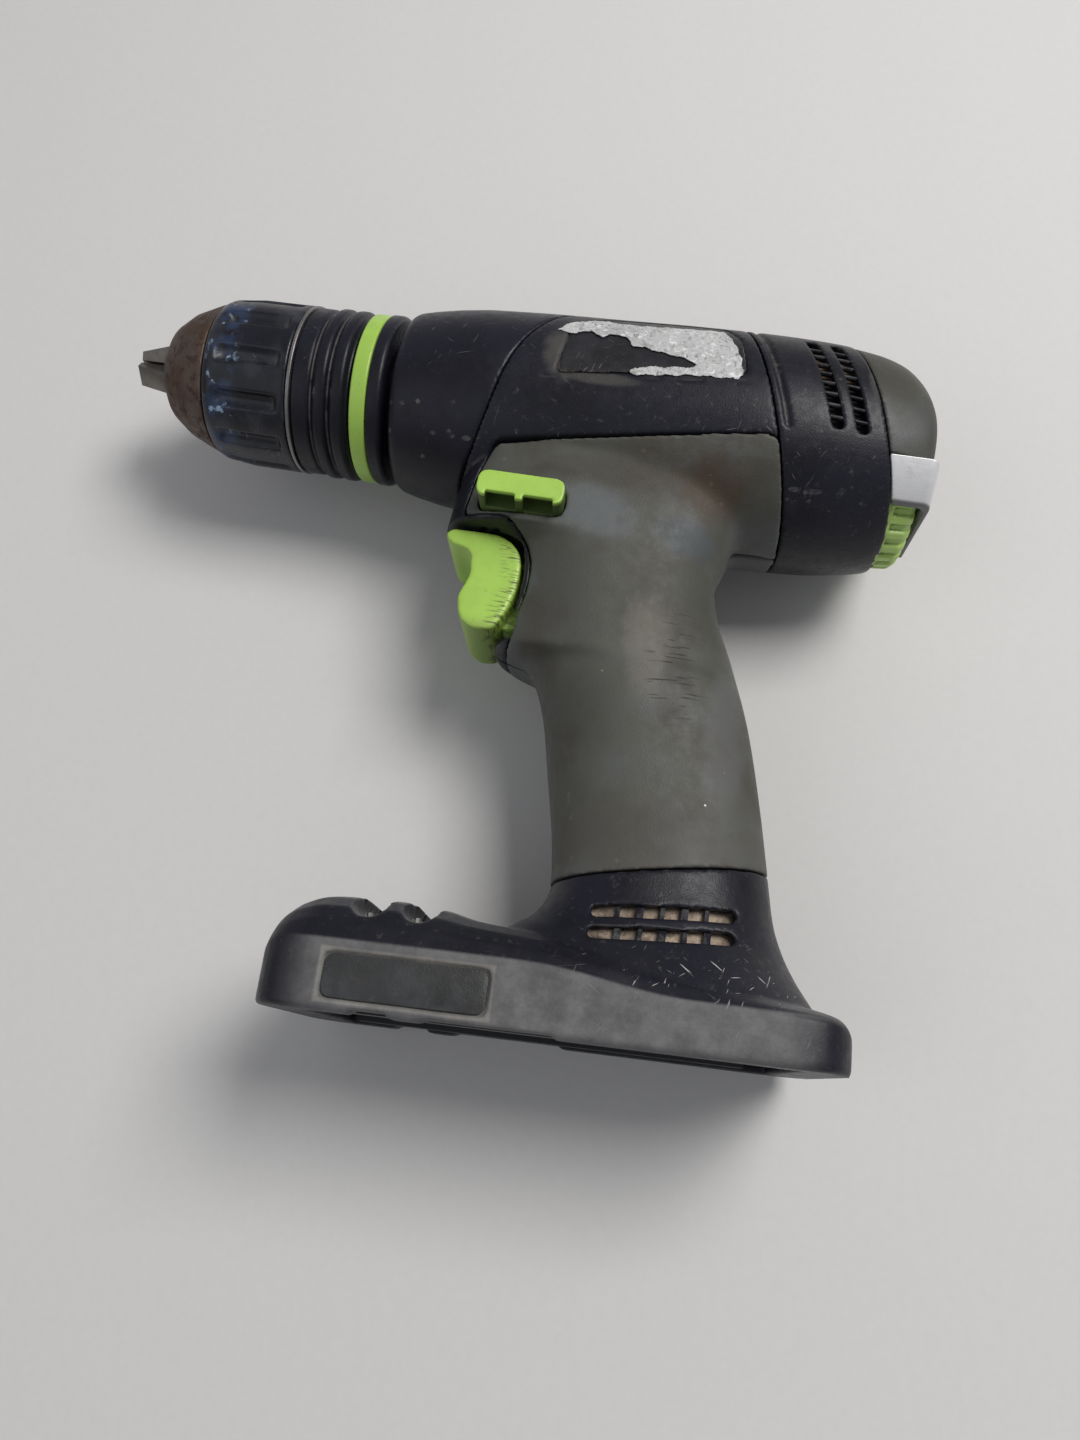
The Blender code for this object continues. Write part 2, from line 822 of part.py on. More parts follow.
def jaw_angles():
    """Two jaws on the near side of the axis and one behind it, seen from the left."""
    return [math.radians(a) for a in (30.0, 150.0, 270.0)]


def jaw_sector(angle):
    """The third of the space round the axis that one jaw may fill, less a running gap."""
    apex, side = 0.35, 14.0
    rise = apex + side / math.tan(math.radians(60))
    section = ((0, apex), (side, rise), (side, 30), (-side, 30), (-side, rise))
    sector = loft("sector", [[(x, y, z) for y, z in section] for x in (-60, 20)])
    sector.data.transform(Matrix.Rotation(angle, 4, "X"))
    return sector


def chuck_body(parent):
    outline = (
        (NOSE_FRONT, BORE_R),
        (NOSE_FRONT, 8.2),
        (-35.8, 12.6),
        (-31.0, 16.2),
        (-24.0, 19.2),
        (-23.3, 19.2),
        (-23.3, CORE_R),
        (-1.0, CORE_R),
        (0.7, 13.5),
        (15.0, 13.5),
        (15.0, SPINDLE_R + GAP),
        (4.0, SPINDLE_R + GAP),
        (4.0, 3.0),
        (-1.0, 3.0),
        (-1.0, BORE_R),
    )
    core = turned("chuck_body", outline, 32)
    travel = JAW_TRAVEL * math.cos(JAW_ANGLE)
    for i, angle in enumerate(jaw_angles()):
        cut(core, jaw_solid(f"slot_{i}", angle, JAW_CLEAR, travel))
    node(core, worn_steel(), parent)


def jaws(parent):
    for i, angle in enumerate(jaw_angles()):
        jaw = jaw_solid(f"jaw_{i + 1}", angle)
        common(jaw, jaw_sector(angle))
        node(jaw, steel(), parent)


def chuck_collar(parent):
    """Black collar behind the sleeve, with two rounded ribs."""
    outline = [(1.1, 13.8), (1.1, 21.2), (5.4, 21.2), (6.0, 20.2)]
    for x0, x1 in ((6.6, 10.4), (11.0, 15.0)):
        rise = 21.7
        outline += [(x0 + 0.8, rise), (x1 - 0.8, rise), (x1, 20.2)]
    outline += [(COLLAR_REAR, 13.8)]
    node(turned("chuck_collar", outline, 32), black_plastic(), parent)


def release_rings(parent):
    green = (
        (RELEASE_FRONT, 15.0),
        (RELEASE_FRONT, 20.9),
        (RELEASE_FRONT + 0.5, 21.5),
        (RELEASE_REAR - 0.2, 21.5),
        (RELEASE_REAR - 0.2, 15.0),
    )
    node(turned("release_ring", green, 32), green_plastic(), parent)
    black = (
        (RELEASE_REAR + 0.1, 15.0),
        (RELEASE_REAR + 0.1, 21.7),
        (LOCK_REAR - 0.8, 21.8),
        (LOCK_REAR, 21.0),
        (LOCK_REAR, 15.0),
    )
    node(turned("lock_collar", black, 32), black_plastic(), parent)


def drive_line(root, spindle_axis):
    spindle = (
        (4.5, 0),
        (4.5, SPINDLE_R),
        (28.0, SPINDLE_R),
        (28.0, 9.0),
        (28.7, 9.0),
        (28.7, SPINDLE_R),
        (SPINDLE_REAR, SPINDLE_R),
        (SPINDLE_REAR, 0),
    )
    node(turned("spindle", spindle, 24), steel(), spindle_axis)
    carrier = turned("planet_carrier", ((50.3, 0), (50.3, 16.0), (56.2, 16.0), (56.2, 0)), 24)
    for i in range(PLANETS):
        pin = rod("pin", 56.0, 65.5, 2.0, 12, planet_centre(i, 0))
        join(carrier, pin)
    node(carrier, steel(), spindle_axis)
    node(tube("front_bearing", 29.4, 38.4, SPINDLE_R + GAP, 15.7, 24), steel(), root)
    node(tube("ring_gear", 47.5, 69.5, RING_INNER_R, 22.0, 24), steel(), root)
    node(tube("gear_cover", 69.9, 72.6, 5.0, 22.0, 24), black_plastic(), root)
    for i in range(PLANETS):
        centre = planet_centre(i, 60.8)
        hinge = pivot_empty(f"planet_axis_{i + 1}", spindle_axis, centre)
        wheel = tube(f"planet_{i + 1}", 57.0, 64.6, 2.3, PLANET_R, 16, planet_centre(i, 0))
        node(wheel, steel(), hinge, centre)


def planet_centre(index, x):
    angle = math.tau * index / PLANETS + math.pi / 2
    return (x, PLANET_ORBIT * math.cos(angle), PLANET_ORBIT * math.sin(angle))


def motor(root, rotor_axis):
    can = (
        (MOTOR_FRONT, 4.0),
        (MOTOR_FRONT, MOTOR_R),
        (MOTOR_REAR, MOTOR_R),
        (MOTOR_REAR, 15.4),
        (MOTOR_FRONT + 2.0, 15.4),
        (MOTOR_FRONT + 2.0, 4.0),
    )
    node(turned("motor_can", can, 24), steel(), root)
    node(tube("brush_plate", 110.4, 113.4, 4.0, MOTOR_R, 24), black_plastic(), root)
    shaft = (
        (57.2, 0),
        (57.2, SUN_R),
        (65.0, SUN_R),
        (65.0, 2.5),
        (126.0, 2.5),
        (126.0, 0),
    )
    node(turned("motor_shaft", shaft, 16), steel(), rotor_axis)
    node(tube("armature", 80.0, 105.0, 2.8, 13.6, 20), copper_red(), rotor_axis)
    node(tube("fan", 117.0, 123.0, 2.8, 17.0, 20), black_plastic(), rotor_axis)


# ---------------------------------------------------------------- controls and electronics


def trigger(root):
    slide = empty("trigger_slide", root)
    lever = prism("trigger", TRIGGER, -TRIGGER_HALF_WIDTH, TRIGGER_HALF_WIDTH)
    soften(lever, 1.6)
    join(lever, block("stem", (60, -6, -62), (72.2, 6, -44)))
    node(lever, green_plastic(), slide)


def soften(obj, width):
    """Rounds the edges that a side outline leaves sharp."""
    modifier = obj.modifiers.new("round", "BEVEL")
    modifier.width = width * MM
    modifier.segments = 2
    modifier.limit_method = "ANGLE"
    modifier.angle_limit = math.radians(50)
    graph = bpy.context.evaluated_depsgraph_get()
    mesh = bpy.data.meshes.new_from_object(obj.evaluated_get(graph))
    obj.modifiers.clear()
    obj.data = mesh


def direction_button(root):
    slide = empty("direction_slide", root)
    x0, x1 = BUTTON_X
    z0, z1 = BUTTON_Z
    bar = block("direction_button", (x0, -BUTTON_OUT, z0), (x1, BUTTON_IN, z1))
    soften(bar, 1.8)
    for x in (x0 + 2.4, x0 + 10.6):
        for y in (-BUTTON_OUT + 1.8, BUTTON_IN - 6.0):
            cut(bar, block("pocket", (x, y, z0 - 3), (x + 6.4, y + 4.2, z0 + 4.2)))
    node(bar, green_plastic(), slide)


def gear_selector(root):
    slide = empty("gear_slide", root)
    knob = block("gear_selector", (85.0, -6.0, 26.6), (96.0, 6.0, 30.0), 0.8)
    join(knob, block("tongue", (87.0, -4.5, 24.4), (94.0, 4.5, 27.2)))
    node(knob, black_plastic(), slide)


def electronics(root):
    node(block("switch_module", (79.4, -9, -62), (104, 9, -42), 0.8), black_plastic(), root)
    board = foot_block("control_board", 70.0, 104.0, -18, 18, 12.2, 13.6)
    join(board, foot_block("chip", 78.0, 90.0, -7, 7, 13.4, 15.4))
    node(board, board_green(), root)


# ---------------------------------------------------------------- assembly


def build():
    clear_scene()
    root = empty("tool_frame", None, (-BOX_CENTRE, 0, AXIS_HEIGHT), (0, NOSE_UP, 0))
    housing_halves(root)
    grips(root)
    nose_housing(root)
    rear_housing(root)
    rear_cap(root)
    rear_bezel(root)
    side_plates(root)
    foot_plates(root)
    battery_dock(root)
    bit_clips(root)
    case_screws(root)
    electronics(root)
    torque_dial(root)
    trigger(root)
    direction_button(root)
    gear_selector(root)
    release_rings(empty("release_slide", root))
    spindle_axis = empty("spindle_axis", root)
    chuck_body(spindle_axis)
    chuck_collar(spindle_axis)
    fluted_sleeve(empty("sleeve_axis", spindle_axis))
    jaws(empty("jaw_slides", spindle_axis))
    drive_line(root, spindle_axis)
    motor(root, empty("rotor_axis", root))


build()
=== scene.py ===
"""Looks for the cordless drill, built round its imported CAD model.

Shapes are drawn in the tool frame: X rearwards along the chuck's axis, Y across the tool, Z up,
origin on the axis at the rear edge of the chuck's sleeve. Lengths there are in millimetres, and
TOOL places that frame in the model's own frame.
"""

import math

import bmesh
import bpy
import numpy as np
from mathutils import Matrix, Vector


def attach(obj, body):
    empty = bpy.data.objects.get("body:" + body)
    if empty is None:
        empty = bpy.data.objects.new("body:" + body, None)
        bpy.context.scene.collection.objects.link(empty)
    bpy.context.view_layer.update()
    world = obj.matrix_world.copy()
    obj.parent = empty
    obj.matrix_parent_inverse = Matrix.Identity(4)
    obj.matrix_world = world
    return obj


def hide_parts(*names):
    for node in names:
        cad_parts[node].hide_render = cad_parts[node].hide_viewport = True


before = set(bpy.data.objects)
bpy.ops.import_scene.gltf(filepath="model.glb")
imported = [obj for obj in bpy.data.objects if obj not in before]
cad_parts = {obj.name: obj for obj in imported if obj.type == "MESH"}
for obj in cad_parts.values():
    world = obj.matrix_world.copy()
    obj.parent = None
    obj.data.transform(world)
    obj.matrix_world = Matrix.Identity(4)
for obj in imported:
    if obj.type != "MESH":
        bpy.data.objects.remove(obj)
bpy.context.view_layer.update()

MM = 0.001
GAP = 0.3  # between neighbouring pieces
NOSE_UP = math.radians(3.6)  # how far the chuck points upwards
AXIS_HEIGHT = 158.7  # of the origin above the foot's underside
BOX_CENTRE = 55.4
RAISED = Matrix.Translation((-BOX_CENTRE * MM, 0, AXIS_HEIGHT * MM))
TOOL = RAISED @ Matrix.Rotation(NOSE_UP, 4, "Y")
WALL = 4.0
HEAD_SIDES, HANDLE_SIDES = 96, 80
GRIP_SLOPE = math.radians(5.5)  # of the soft grip's top edge
RAKE = 0.31  # how far the rear joints lean forward per millimetre of height
GROOVE_REAR = 116.8  # panel joint, on the axis
RIM_X = 142.8  # front of the rear cap, on the axis
SIDES = ((-1, "left"), (1, "right"))
DUST = (0.26, 0.235, 0.205)

# Head: distance along the axis, half width, half height, height of the centre
HEAD = (
    (36, 24.6, 24.6, 0.3),
    (46, 26.1, 26.1, 0.2),
    (58, 26.7, 26.7, 0.0),
    (80, 27.7, 27.7, -0.4),
    (100, 28.8, 28.8, -0.9),
    (118, 29.3, 29.3, -1.2),
    (132, 28.8, 28.8, -1.0),
    (143, 27.4, 27.4, -0.9),
    (149, 26.2, 25.8, -1.2),
    (153, 24.9, 23.3, -1.9),
    (156, 23.3, 19.8, -3.0),
    (157.6, 21.0, 15.8, -3.8),
    (158.2, 17.0, 10.5, -4.4),
)

# Handle: height, front, rear, half width, squareness of the section
HANDLE = (
    (-8, 58.0, 112.0, 19.5, 3.0),
    (-24, 46.6, 116.5, 20.2, 3.2),
    (-38.8, 45.2, 113.2, 19.6, 3.2),
    (-39.6, 54.5, 112.9, 19.6, 3.0),
    (-42.5, 62.0, 112.5, 19.6, 2.5),
    (-51, 62.6, 114.6, 19.5, 2.3),
    (-60, 62.0, 118.6, 19.3, 2.3),
    (-66.6, 62.6, 121.3, 19.1, 2.3),
    (-70.5, 72.0, 122.8, 19.0, 2.3),
    (-78, 76.2, 125.4, 18.8, 2.3),
    (-96, 81.2, 130.2, 18.9, 2.3),
    (-112, 85.0, 133.8, 19.6, 2.4),
    (-121, 86.2, 135.8, 20.8, 2.6),
    (-127, 83.8, 138.2, 22.8, 2.8),
    (-132, 78.0, 141.0, 26.0, 3.0),
    (-138, 74.0, 145.4, 30.0, 3.2),
)

# Foot: distance along it, half width, height of the upright side, height of the crown
FOOT = (
    (23.6, 22.0, 7.5, 9.0),
    (24.4, 26.0, 10.5, 14.5),
    (26.4, 29.6, 12.4, 19.0),
    (30.0, 32.0, 13.2, 22.4),
    (36.0, 33.0, 13.5, 24.6),
    (48.0, 33.0, 13.6, 24.9),
    (58.0, 33.0, 13.6, 24.2),
    (66.0, 33.0, 13.6, 22.6),
    (82.0, 33.0, 12.4, 21.4),
    (98.0, 33.0, 10.2, 19.0),
    (114.0, 33.0, 9.6, 15.6),
    (128.0, 33.0, 9.4, 13.0),
    (134.0, 32.0, 9.2, 12.2),
    (138.4, 29.0, 8.6, 11.2),
    (140.6, 25.0, 7.0, 9.0),
    (141.2, 22.0, 5.0, 6.0),
)

# Slanting seam between the nose and the body, as (x, z)
SEAM = (
    (40.0, -33.0), (44.5, -27.0), (49.0, -20.0), (52.0, -12.0), (54.6, -3.0), (58.0, 6.0),
    (63.0, 15.0), (72.0, 26.0), (78.0, 33.0),
)

# Slots low on the handle: where they start and end, the upper one's height, and their pitch
VENT_X = (97.8, 124.4)
VENT_Z = -126.4
VENT_PITCH = 4.9

# Case screws, as (x, z)
SCREWS = ((58.5, -14.0), (109.0, -12.0), (106.0, -54.0), (98.0, -90.0), (108.0, -113.0))

# Side outline of the trigger, as (x, z)
TRIGGER = (
    (46.6, -42.0), (47.6, -40.2), (50.4, -39.8), (58.4, -39.8), (62.8, -41.5), (65.5, -44.9),
    (66.4, -50.4), (65.6, -56.8), (63.4, -62.8), (61.2, -64.7), (57.4, -64.9), (54.4, -62.8),
    (53.0, -59.4), (52.8, -56.4), (54.2, -51.6), (53.9, -46.2), (51.4, -44.6), (48.6, -44.0),
)

# What is left of the torn blank label on the left-hand side, as (x, z)
TORN_LABEL = (
    (65.2, 9.6), (67.8, 13.4), (71.5, 15.2), (75.8, 16.4), (79.0, 15.6), (83.9, 15.4),
    (94.0, 16.0), (104.2, 16.6), (107.0, 12.4), (109.0, 7.4), (110.4, 1.4), (109.6, -0.6),
    (101.0, -0.9), (92.0, -1.7), (86.0, -2.2), (84.4, -1.4), (88.5, 0.2), (94.2, 0.7),
    (99.8, 1.8), (97.0, 3.6), (91.0, 5.0), (87.2, 6.0), (83.6, 6.6), (81.8, 9.6), (78.2, 9.8),
    (76.0, 8.6), (73.0, 10.6), (69.6, 9.0),
)


# ---------------------------------------------------------------- meshes


def finish_mesh(name, bm):
    bmesh.ops.scale(bm, vec=(MM, MM, MM), verts=bm.verts)
    bmesh.ops.remove_doubles(bm, verts=bm.verts, dist=1e-6)
    bmesh.ops.recalc_face_normals(bm, faces=bm.faces)
    mesh = bpy.data.meshes.new(name)
    bm.to_mesh(mesh)
    bm.free()
    mesh.shade_smooth()
    made = bpy.data.objects.new(name, mesh)
    bpy.context.collection.objects.link(made)
    return made


def flowing(rows, count):
    """Rows read at count places along a curve that passes through them without overshoot."""
    rows = np.array(rows, float)
    step = np.diff(rows, axis=0)
    t = np.concatenate([[0], np.cumsum(np.linalg.norm(step[:, :3], axis=1))])
    span = np.diff(t)[:, None]
    slope = step / span
    same = slope[:-1] * slope[1:] > 0
    total = np.where(same, slope[:-1] + slope[1:], 1.0)
    tangent = np.zeros_like(rows)
    tangent[1:-1] = np.where(same, 2 * slope[:-1] * slope[1:] / total, 0)
    tangent[0], tangent[-1] = slope[0], slope[-1]
    q = np.linspace(0, t[-1], count)
    i = np.clip(np.searchsorted(t, q, "right") - 1, 0, len(t) - 2)
    h = span[i]
    u = ((q - t[i]) / h[:, 0])[:, None]
    low = rows[i] * (1 + 2 * u) * (1 - u) ** 2 + tangent[i] * h * u * (1 - u) ** 2
    high = rows[i + 1] * u * u * (3 - 2 * u) + tangent[i + 1] * h * u * u * (u - 1)
    return low + high


def rounded(points, radius, steps=4):
    """A closed outline with each corner turned into a short curve."""
    out = []
    count = len(points)
    for i, corner in enumerate(points):
        p = Vector(corner)
        back = Vector(points[i - 1]) - p
        on = Vector(points[(i + 1) % count]) - p
        start = p + back.normalized() * min(radius, back.length * 0.45)
        end = p + on.normalized() * min(radius, on.length * 0.45)
        for k in range(steps + 1):
            t = k / steps
            out.append(tuple(start.lerp(p, t).lerp(p.lerp(end, t), t)))
    return out


def curved(points, steps=6):
    """A closed outline as a smooth curve through its points."""
    out = []
    count = len(points)
    for i in range(count):
        a, b, c, d = (Vector(points[(i + k - 1) % count]) for k in range(4))
        bend = 2 * a - 5 * b + 4 * c - d
        twist = 3 * b - a - 3 * c + d
        for t in (k / steps for k in range(steps)):
            out.append(tuple((2 * b + (c - a) * t + bend * t * t + twist * t**3) / 2))
    return out


def divided(outline, step):
    """A closed outline with its sides divided into lengths of about a step."""
    out = []
    for a, b in zip(outline, outline[1:] + outline[:1]):
        count = max(1, int(math.dist(a, b) / step))
        out += [tuple(Vector(a).lerp(Vector(b), k / count)) for k in range(count)]
    return out


def loft(name, loops):
    """A closed skin through rings of points, with flat ends."""
    bm = bmesh.new()
    rings = [[bm.verts.new(p) for p in loop] for loop in loops]
    count = len(rings[0])
    for lower, upper in zip(rings, rings[1:]):
        for i in range(count):
            j = (i + 1) % count
            bm.faces.new((lower[i], lower[j], upper[j], upper[i]))
    bm.faces.new(rings[0])
    bm.faces.new(rings[-1])
    bmesh.ops.triangulate(bm, faces=bm.faces)
    return finish_mesh(name, bm)


def prism(name, outline, y0, y1):
    return loft(name, [[(x, y, z) for x, z in outline] for y in (y0, y1)])


def block(name, low, high):
    (x0, y0, z0), (x1, y1, z1) = low, high
    return prism(name, ((x0, z0), (x1, z0), (x1, z1), (x0, z1)), y0, y1)


def turned(name, outline, steps=144, centre_z=0.0, ripple=None):
    """A closed outline of (x, radius) turned about X; ripple(x, r, angle) gives the radius."""
    bm = bmesh.new()
    rings = []
    for k in range(steps):
        angle = math.tau * k / steps
        ring = []
        for x, r in outline:
            reach = ripple(x, r, angle) if ripple else r
            place = (x, reach * math.sin(angle), centre_z + reach * math.cos(angle))
            ring.append(bm.verts.new(place))
        rings.append(ring)
    count = len(outline)
    for k in range(steps):
        near, far = rings[k], rings[(k + 1) % steps]
        for i in range(count):
            j = (i + 1) % count
            bm.faces.new((near[i], near[j], far[j], far[i]))
    return finish_mesh(name, bm)


def boolean(target, other, operation):
    modifier = target.modifiers.new(operation, "BOOLEAN")
    modifier.operation = operation
    modifier.object = other
    modifier.solver = "EXACT"
    settle(target)
    bpy.data.objects.remove(other, do_unlink=True)
    return target


def settle(obj):
    """Applies the modifiers on an object."""
    graph = bpy.context.evaluated_depsgraph_get()
    mesh = bpy.data.meshes.new_from_object(obj.evaluated_get(graph))
    obj.modifiers.clear()
    obj.data = mesh
    return obj


def cut(target, other):
    return boolean(target, other, "DIFFERENCE")


def join(target, other):
    return boolean(target, other, "UNION")


def common(target, other):
    return boolean(target, other, "INTERSECT")


def copy_of(source, name):
    made = bpy.data.objects.new(name, source.data.copy())
    bpy.context.collection.objects.link(made)
    return made


def moulded(obj, voxel, passes, tilt=0.0):
    """Remeshes a solid evenly, its grid tilted to suit long edges, and relaxes it a little."""
    obj.data.transform(Matrix.Rotation(tilt, 4, "Y"))
    remesh = obj.modifiers.new("even", "REMESH")
    remesh.mode = "VOXEL"
    remesh.voxel_size = voxel * MM
    relax = obj.modifiers.new("relax", "SMOOTH")
    relax.factor = 0.5
    relax.iterations = passes
    settle(obj)
    obj.data.transform(Matrix.Rotation(-tilt, 4, "Y"))
    obj.data.shade_smooth()
    return obj


def soften(obj, width, segments=3):
    """Rounds the edges of an object."""
    modifier = obj.modifiers.new("round", "BEVEL")
    modifier.width = width * MM
    modifier.segments = segments
    modifier.limit_method = "ANGLE"
    modifier.angle_limit = math.radians(30)
    modifier.harden_normals = False
    settle(obj)
    obj.data.shade_smooth()
    obj.data.set_sharp_from_angle(angle=math.radians(50))
    return obj


def piece(obj, name, body, look, node=None):
    """Puts a finished piece on its body, in place of a CAD node and with its material slot."""
    obj.name = name
    obj.data.name = name
    obj.data.materials.clear()
    obj.data.materials.append(look)
    obj.data.transform(TOOL)
    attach(obj, body)
    if node:
        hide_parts(node)


# ---------------------------------------------------------------- body shapes


def foot_point(s, y, h):
    """The place s along the foot, y across it and h above its underside."""
    along = Vector((math.cos(NOSE_UP), 0, math.sin(NOSE_UP)))
    up = Vector((-math.sin(NOSE_UP), 0, math.cos(NOSE_UP)))
    return along * s + up * (h - AXIS_HEIGHT) + Vector((0, y, 0))


def ellipse_loop(half_x, half_y, power, count):
    points = []
    for i in range(count):
        angle = math.tau * i / count
        c, s = math.cos(angle), math.sin(angle)
        across = half_x * math.copysign(abs(c) ** (2 / power), c)
        points.append((across, half_y * math.copysign(abs(s) ** (2 / power), s)))
    return points


def head_solid(name, inset, first=0, last=len(HEAD)):
    loops = []
    for x, half_y, half_z, centre in flowing(HEAD[first:last], 8 * (last - first)):
        section = ellipse_loop(half_y - inset, half_z - inset, 2.0, HEAD_SIDES)
        loops.append([(x, y, centre + z) for y, z in section])
    return loft(name, loops)


def handle_solid(name, inset, first=0, last=len(HANDLE)):
    loops = []
    for z, front, rear, half, power in flowing(HANDLE[first:last], 6 * (last - first)):
        middle = (front + rear) / 2
        section = ellipse_loop((rear - front) / 2 - inset, half - inset, power, HANDLE_SIDES)
        loops.append([(middle + x, y, z) for x, y in section])
    return loft(name, loops)


def foot_solid(name):
    loops = []
    for s, half, side, crown in flowing(FOOT, 70):
        right = [
            (half - 1.0, 0.0),
            (half, 1.0),
            (half, side),
            (half - 1.6, side + 0.35 * (crown - side)),
            (half * 0.87, side + 0.62 * (crown - side)),
            (half * 0.72, side + 0.84 * (crown - side)),
            (half * 0.52, crown - 0.6),
            (half * 0.3, crown - 0.1),
        ]
        left = [(-y, h) for y, h in reversed(right)]
        loops.append([foot_point(s, y, h) for y, h in right + left])
    return loft(name, loops)


def foot_block(name, s0, s1, y0, y1, h0, h1):
    loops = []
    for s in (s0, s1):
        loops.append([foot_point(s, y, h) for y, h in ((y0, h0), (y1, h0), (y1, h1), (y0, h1))])
    return loft(name, loops)


def tool_body(name, inset):
    """The head and handle, drawn in by an inset."""
    stations = len(HANDLE) if inset == 0 else len(HANDLE) - 1
    return join(head_solid(name, inset, 0, 8), handle_solid("handle_tool", inset, 0, stations))


def raked_half(name, x, side, reach=60.0):
    """All that lies before or behind a joint that leans forward."""
    z0, z1 = -50.0, 50.0
    first, last = x - RAKE * z0, x - RAKE * z1
    outline = ((first, z0), (last, z1), (last + side * reach, z1), (first + side * reach, z0))
    return prism(name, outline, -50, 50)


def seam_side(name, shift, side):
    """All that lies before or behind the slanting seam."""
    edge = [(x + shift, z) for x, z in flowing(np.c_[np.array(SEAM), np.zeros(9)], 40)[:, :2]]
    far = side * 80.0
    return prism(name, [*edge, (78 + far, 40), (40 + far, -45), (38 + shift, -45)], -50, 50)


def grip_outline(s):
    """The soft grip's outline seen from the side, drawn in by s."""
    outline = (
        (54.6 + s, -18.8 - s),
        (52.0 + s, -27.5),
        (50.6 + s, -38.0 + s),
        (61.2, -38.0 + s),
        (66.6 + s, -41.4 + s),
        (69.0 + s, -47.5),
        (69.2 + s, -54.5),
        (67.6 + s, -62.5),
        (67.2 + s, -67.9),
        (60.0, -69.9),
        (60.0, -125.6 + s),
        (150.0, -106.4 + s),
        (150.0, -30.0),
        (GROOVE_REAR + 30 * RAKE, -30.0),
        (GROOVE_REAR + 12.4 * RAKE, -12.4 - s),
        (84.0, -16.0 - s),
    )
    return rounded(outline, 2.2)


def trigger_space(name):
    outline = (
        (40, -39.5), (58.6, -39.5), (63.5, -41.0), (66.4, -44.6), (67.3, -50.4), (66.6, -57.0),
        (64.4, -63.6), (61.6, -65.8), (40, -65.8),
    )
    space = prism(name, outline, -40, 40)
    return join(space, block("window", (50, -12.0, -65.4), (77, 12.0, -39.5)))


def button_window(name):
    outline = rounded(((53.7, -37.5), (74.7, -37.5), (74.7, -30.3), (53.7, -30.3)), 2.6)
    return prism(name, outline, -40, 40)


def handle_vent(name, row, side):
    """A slot low on the handle, rising to the rear."""
    front, rear = VENT_X[0] - 1.4, VENT_X[1] + 1.4
    z = VENT_Z - VENT_PITCH * row
    outline = ((front, z - 1.3), (rear, z + 2.7), (rear, z + 5.3), (front, z + 1.3))
    return prism(name, rounded(outline, 1.2), 12 * side, 40 * side)


def vent_column(name, x, side, grow=0.0):
    half = 1.4 + grow
    ends = ((x - half, -9.0), (x + half, -9.0), (x + half, 17.4), (x - half, 17.4))
    outline = rounded([(px - RAKE * z, z) for px, z in ends], 1.3)
    return prism(name, outline, 8 * side, 40 * side)


def half_space(side):
    y0, y1 = sorted((side * 0.12, side * 100.0))
    return block("half_space", (-100, y0, -250), (300, y1, 100))


def plate_zone(name, side, g):
    """The side panel's outline, drawn in by g."""
    outline = (
        (67.0 + g, -3.2 + g),
        (111.6 - g, 1.0 + g),
        (109.6 - g, 13.0),
        (105.0 - g, 19.5 - g),
        (79.0, 19.0 - g),
        (68.5 + g, 13.0),
    )
    return prism(name, rounded(outline, 2.0), 5 * side, 50 * side)


def foot_plate_block(name, side, grow, depth, proud):
    y0, y1 = sorted((side * (33.0 - depth), side * (33.0 - proud)))
    s0, s1, h0, h1 = 38.5 - grow, 70.5 + grow, 2.6 - grow, 11.0 + grow
    outline = rounded(((s0, h0), (s1, h0), (s1, h1), (s0, h1)), 2.2)
    return loft(name, [[foot_point(s, y, h) for s, h in outline] for y in (y0, y1)])


def across(obj, x, y, z):
    obj.data.transform(Matrix.Rotation(math.pi / 2, 4, "Z"))
    obj.data.transform(Matrix.Translation(Vector((x, y, z)) * MM))
    return obj


def rod(name, x0, x1, radius):
    loops = [[(x, y, z) for y, z in ellipse_loop(radius, radius, 2.0, 40)] for x in (x0, x1)]
    return loft(name, loops)


def side_reach(z):
    """How far the side of the head, or of the handle, is from the middle."""
    if z > -20:
        return math.sqrt(27.0**2 - (z + 0.6) ** 2)
    return 18.2


def screw_hole(x, z):
    return across(rod("screw_hole", 0, 30, 2.9), x, side_reach(z) - 5.8, z)


def dial_space(name):
    outline = (
        (148.2, 0.02), (148.2, 21.4), (155.2, 20.8), (156.4, 19.8), (156.8, 18.4), (156.8, 0.02),
    )
    return turned(name, outline, 96, -5.0)


# ---------------------------------------------------------------- housing, grip and rear end


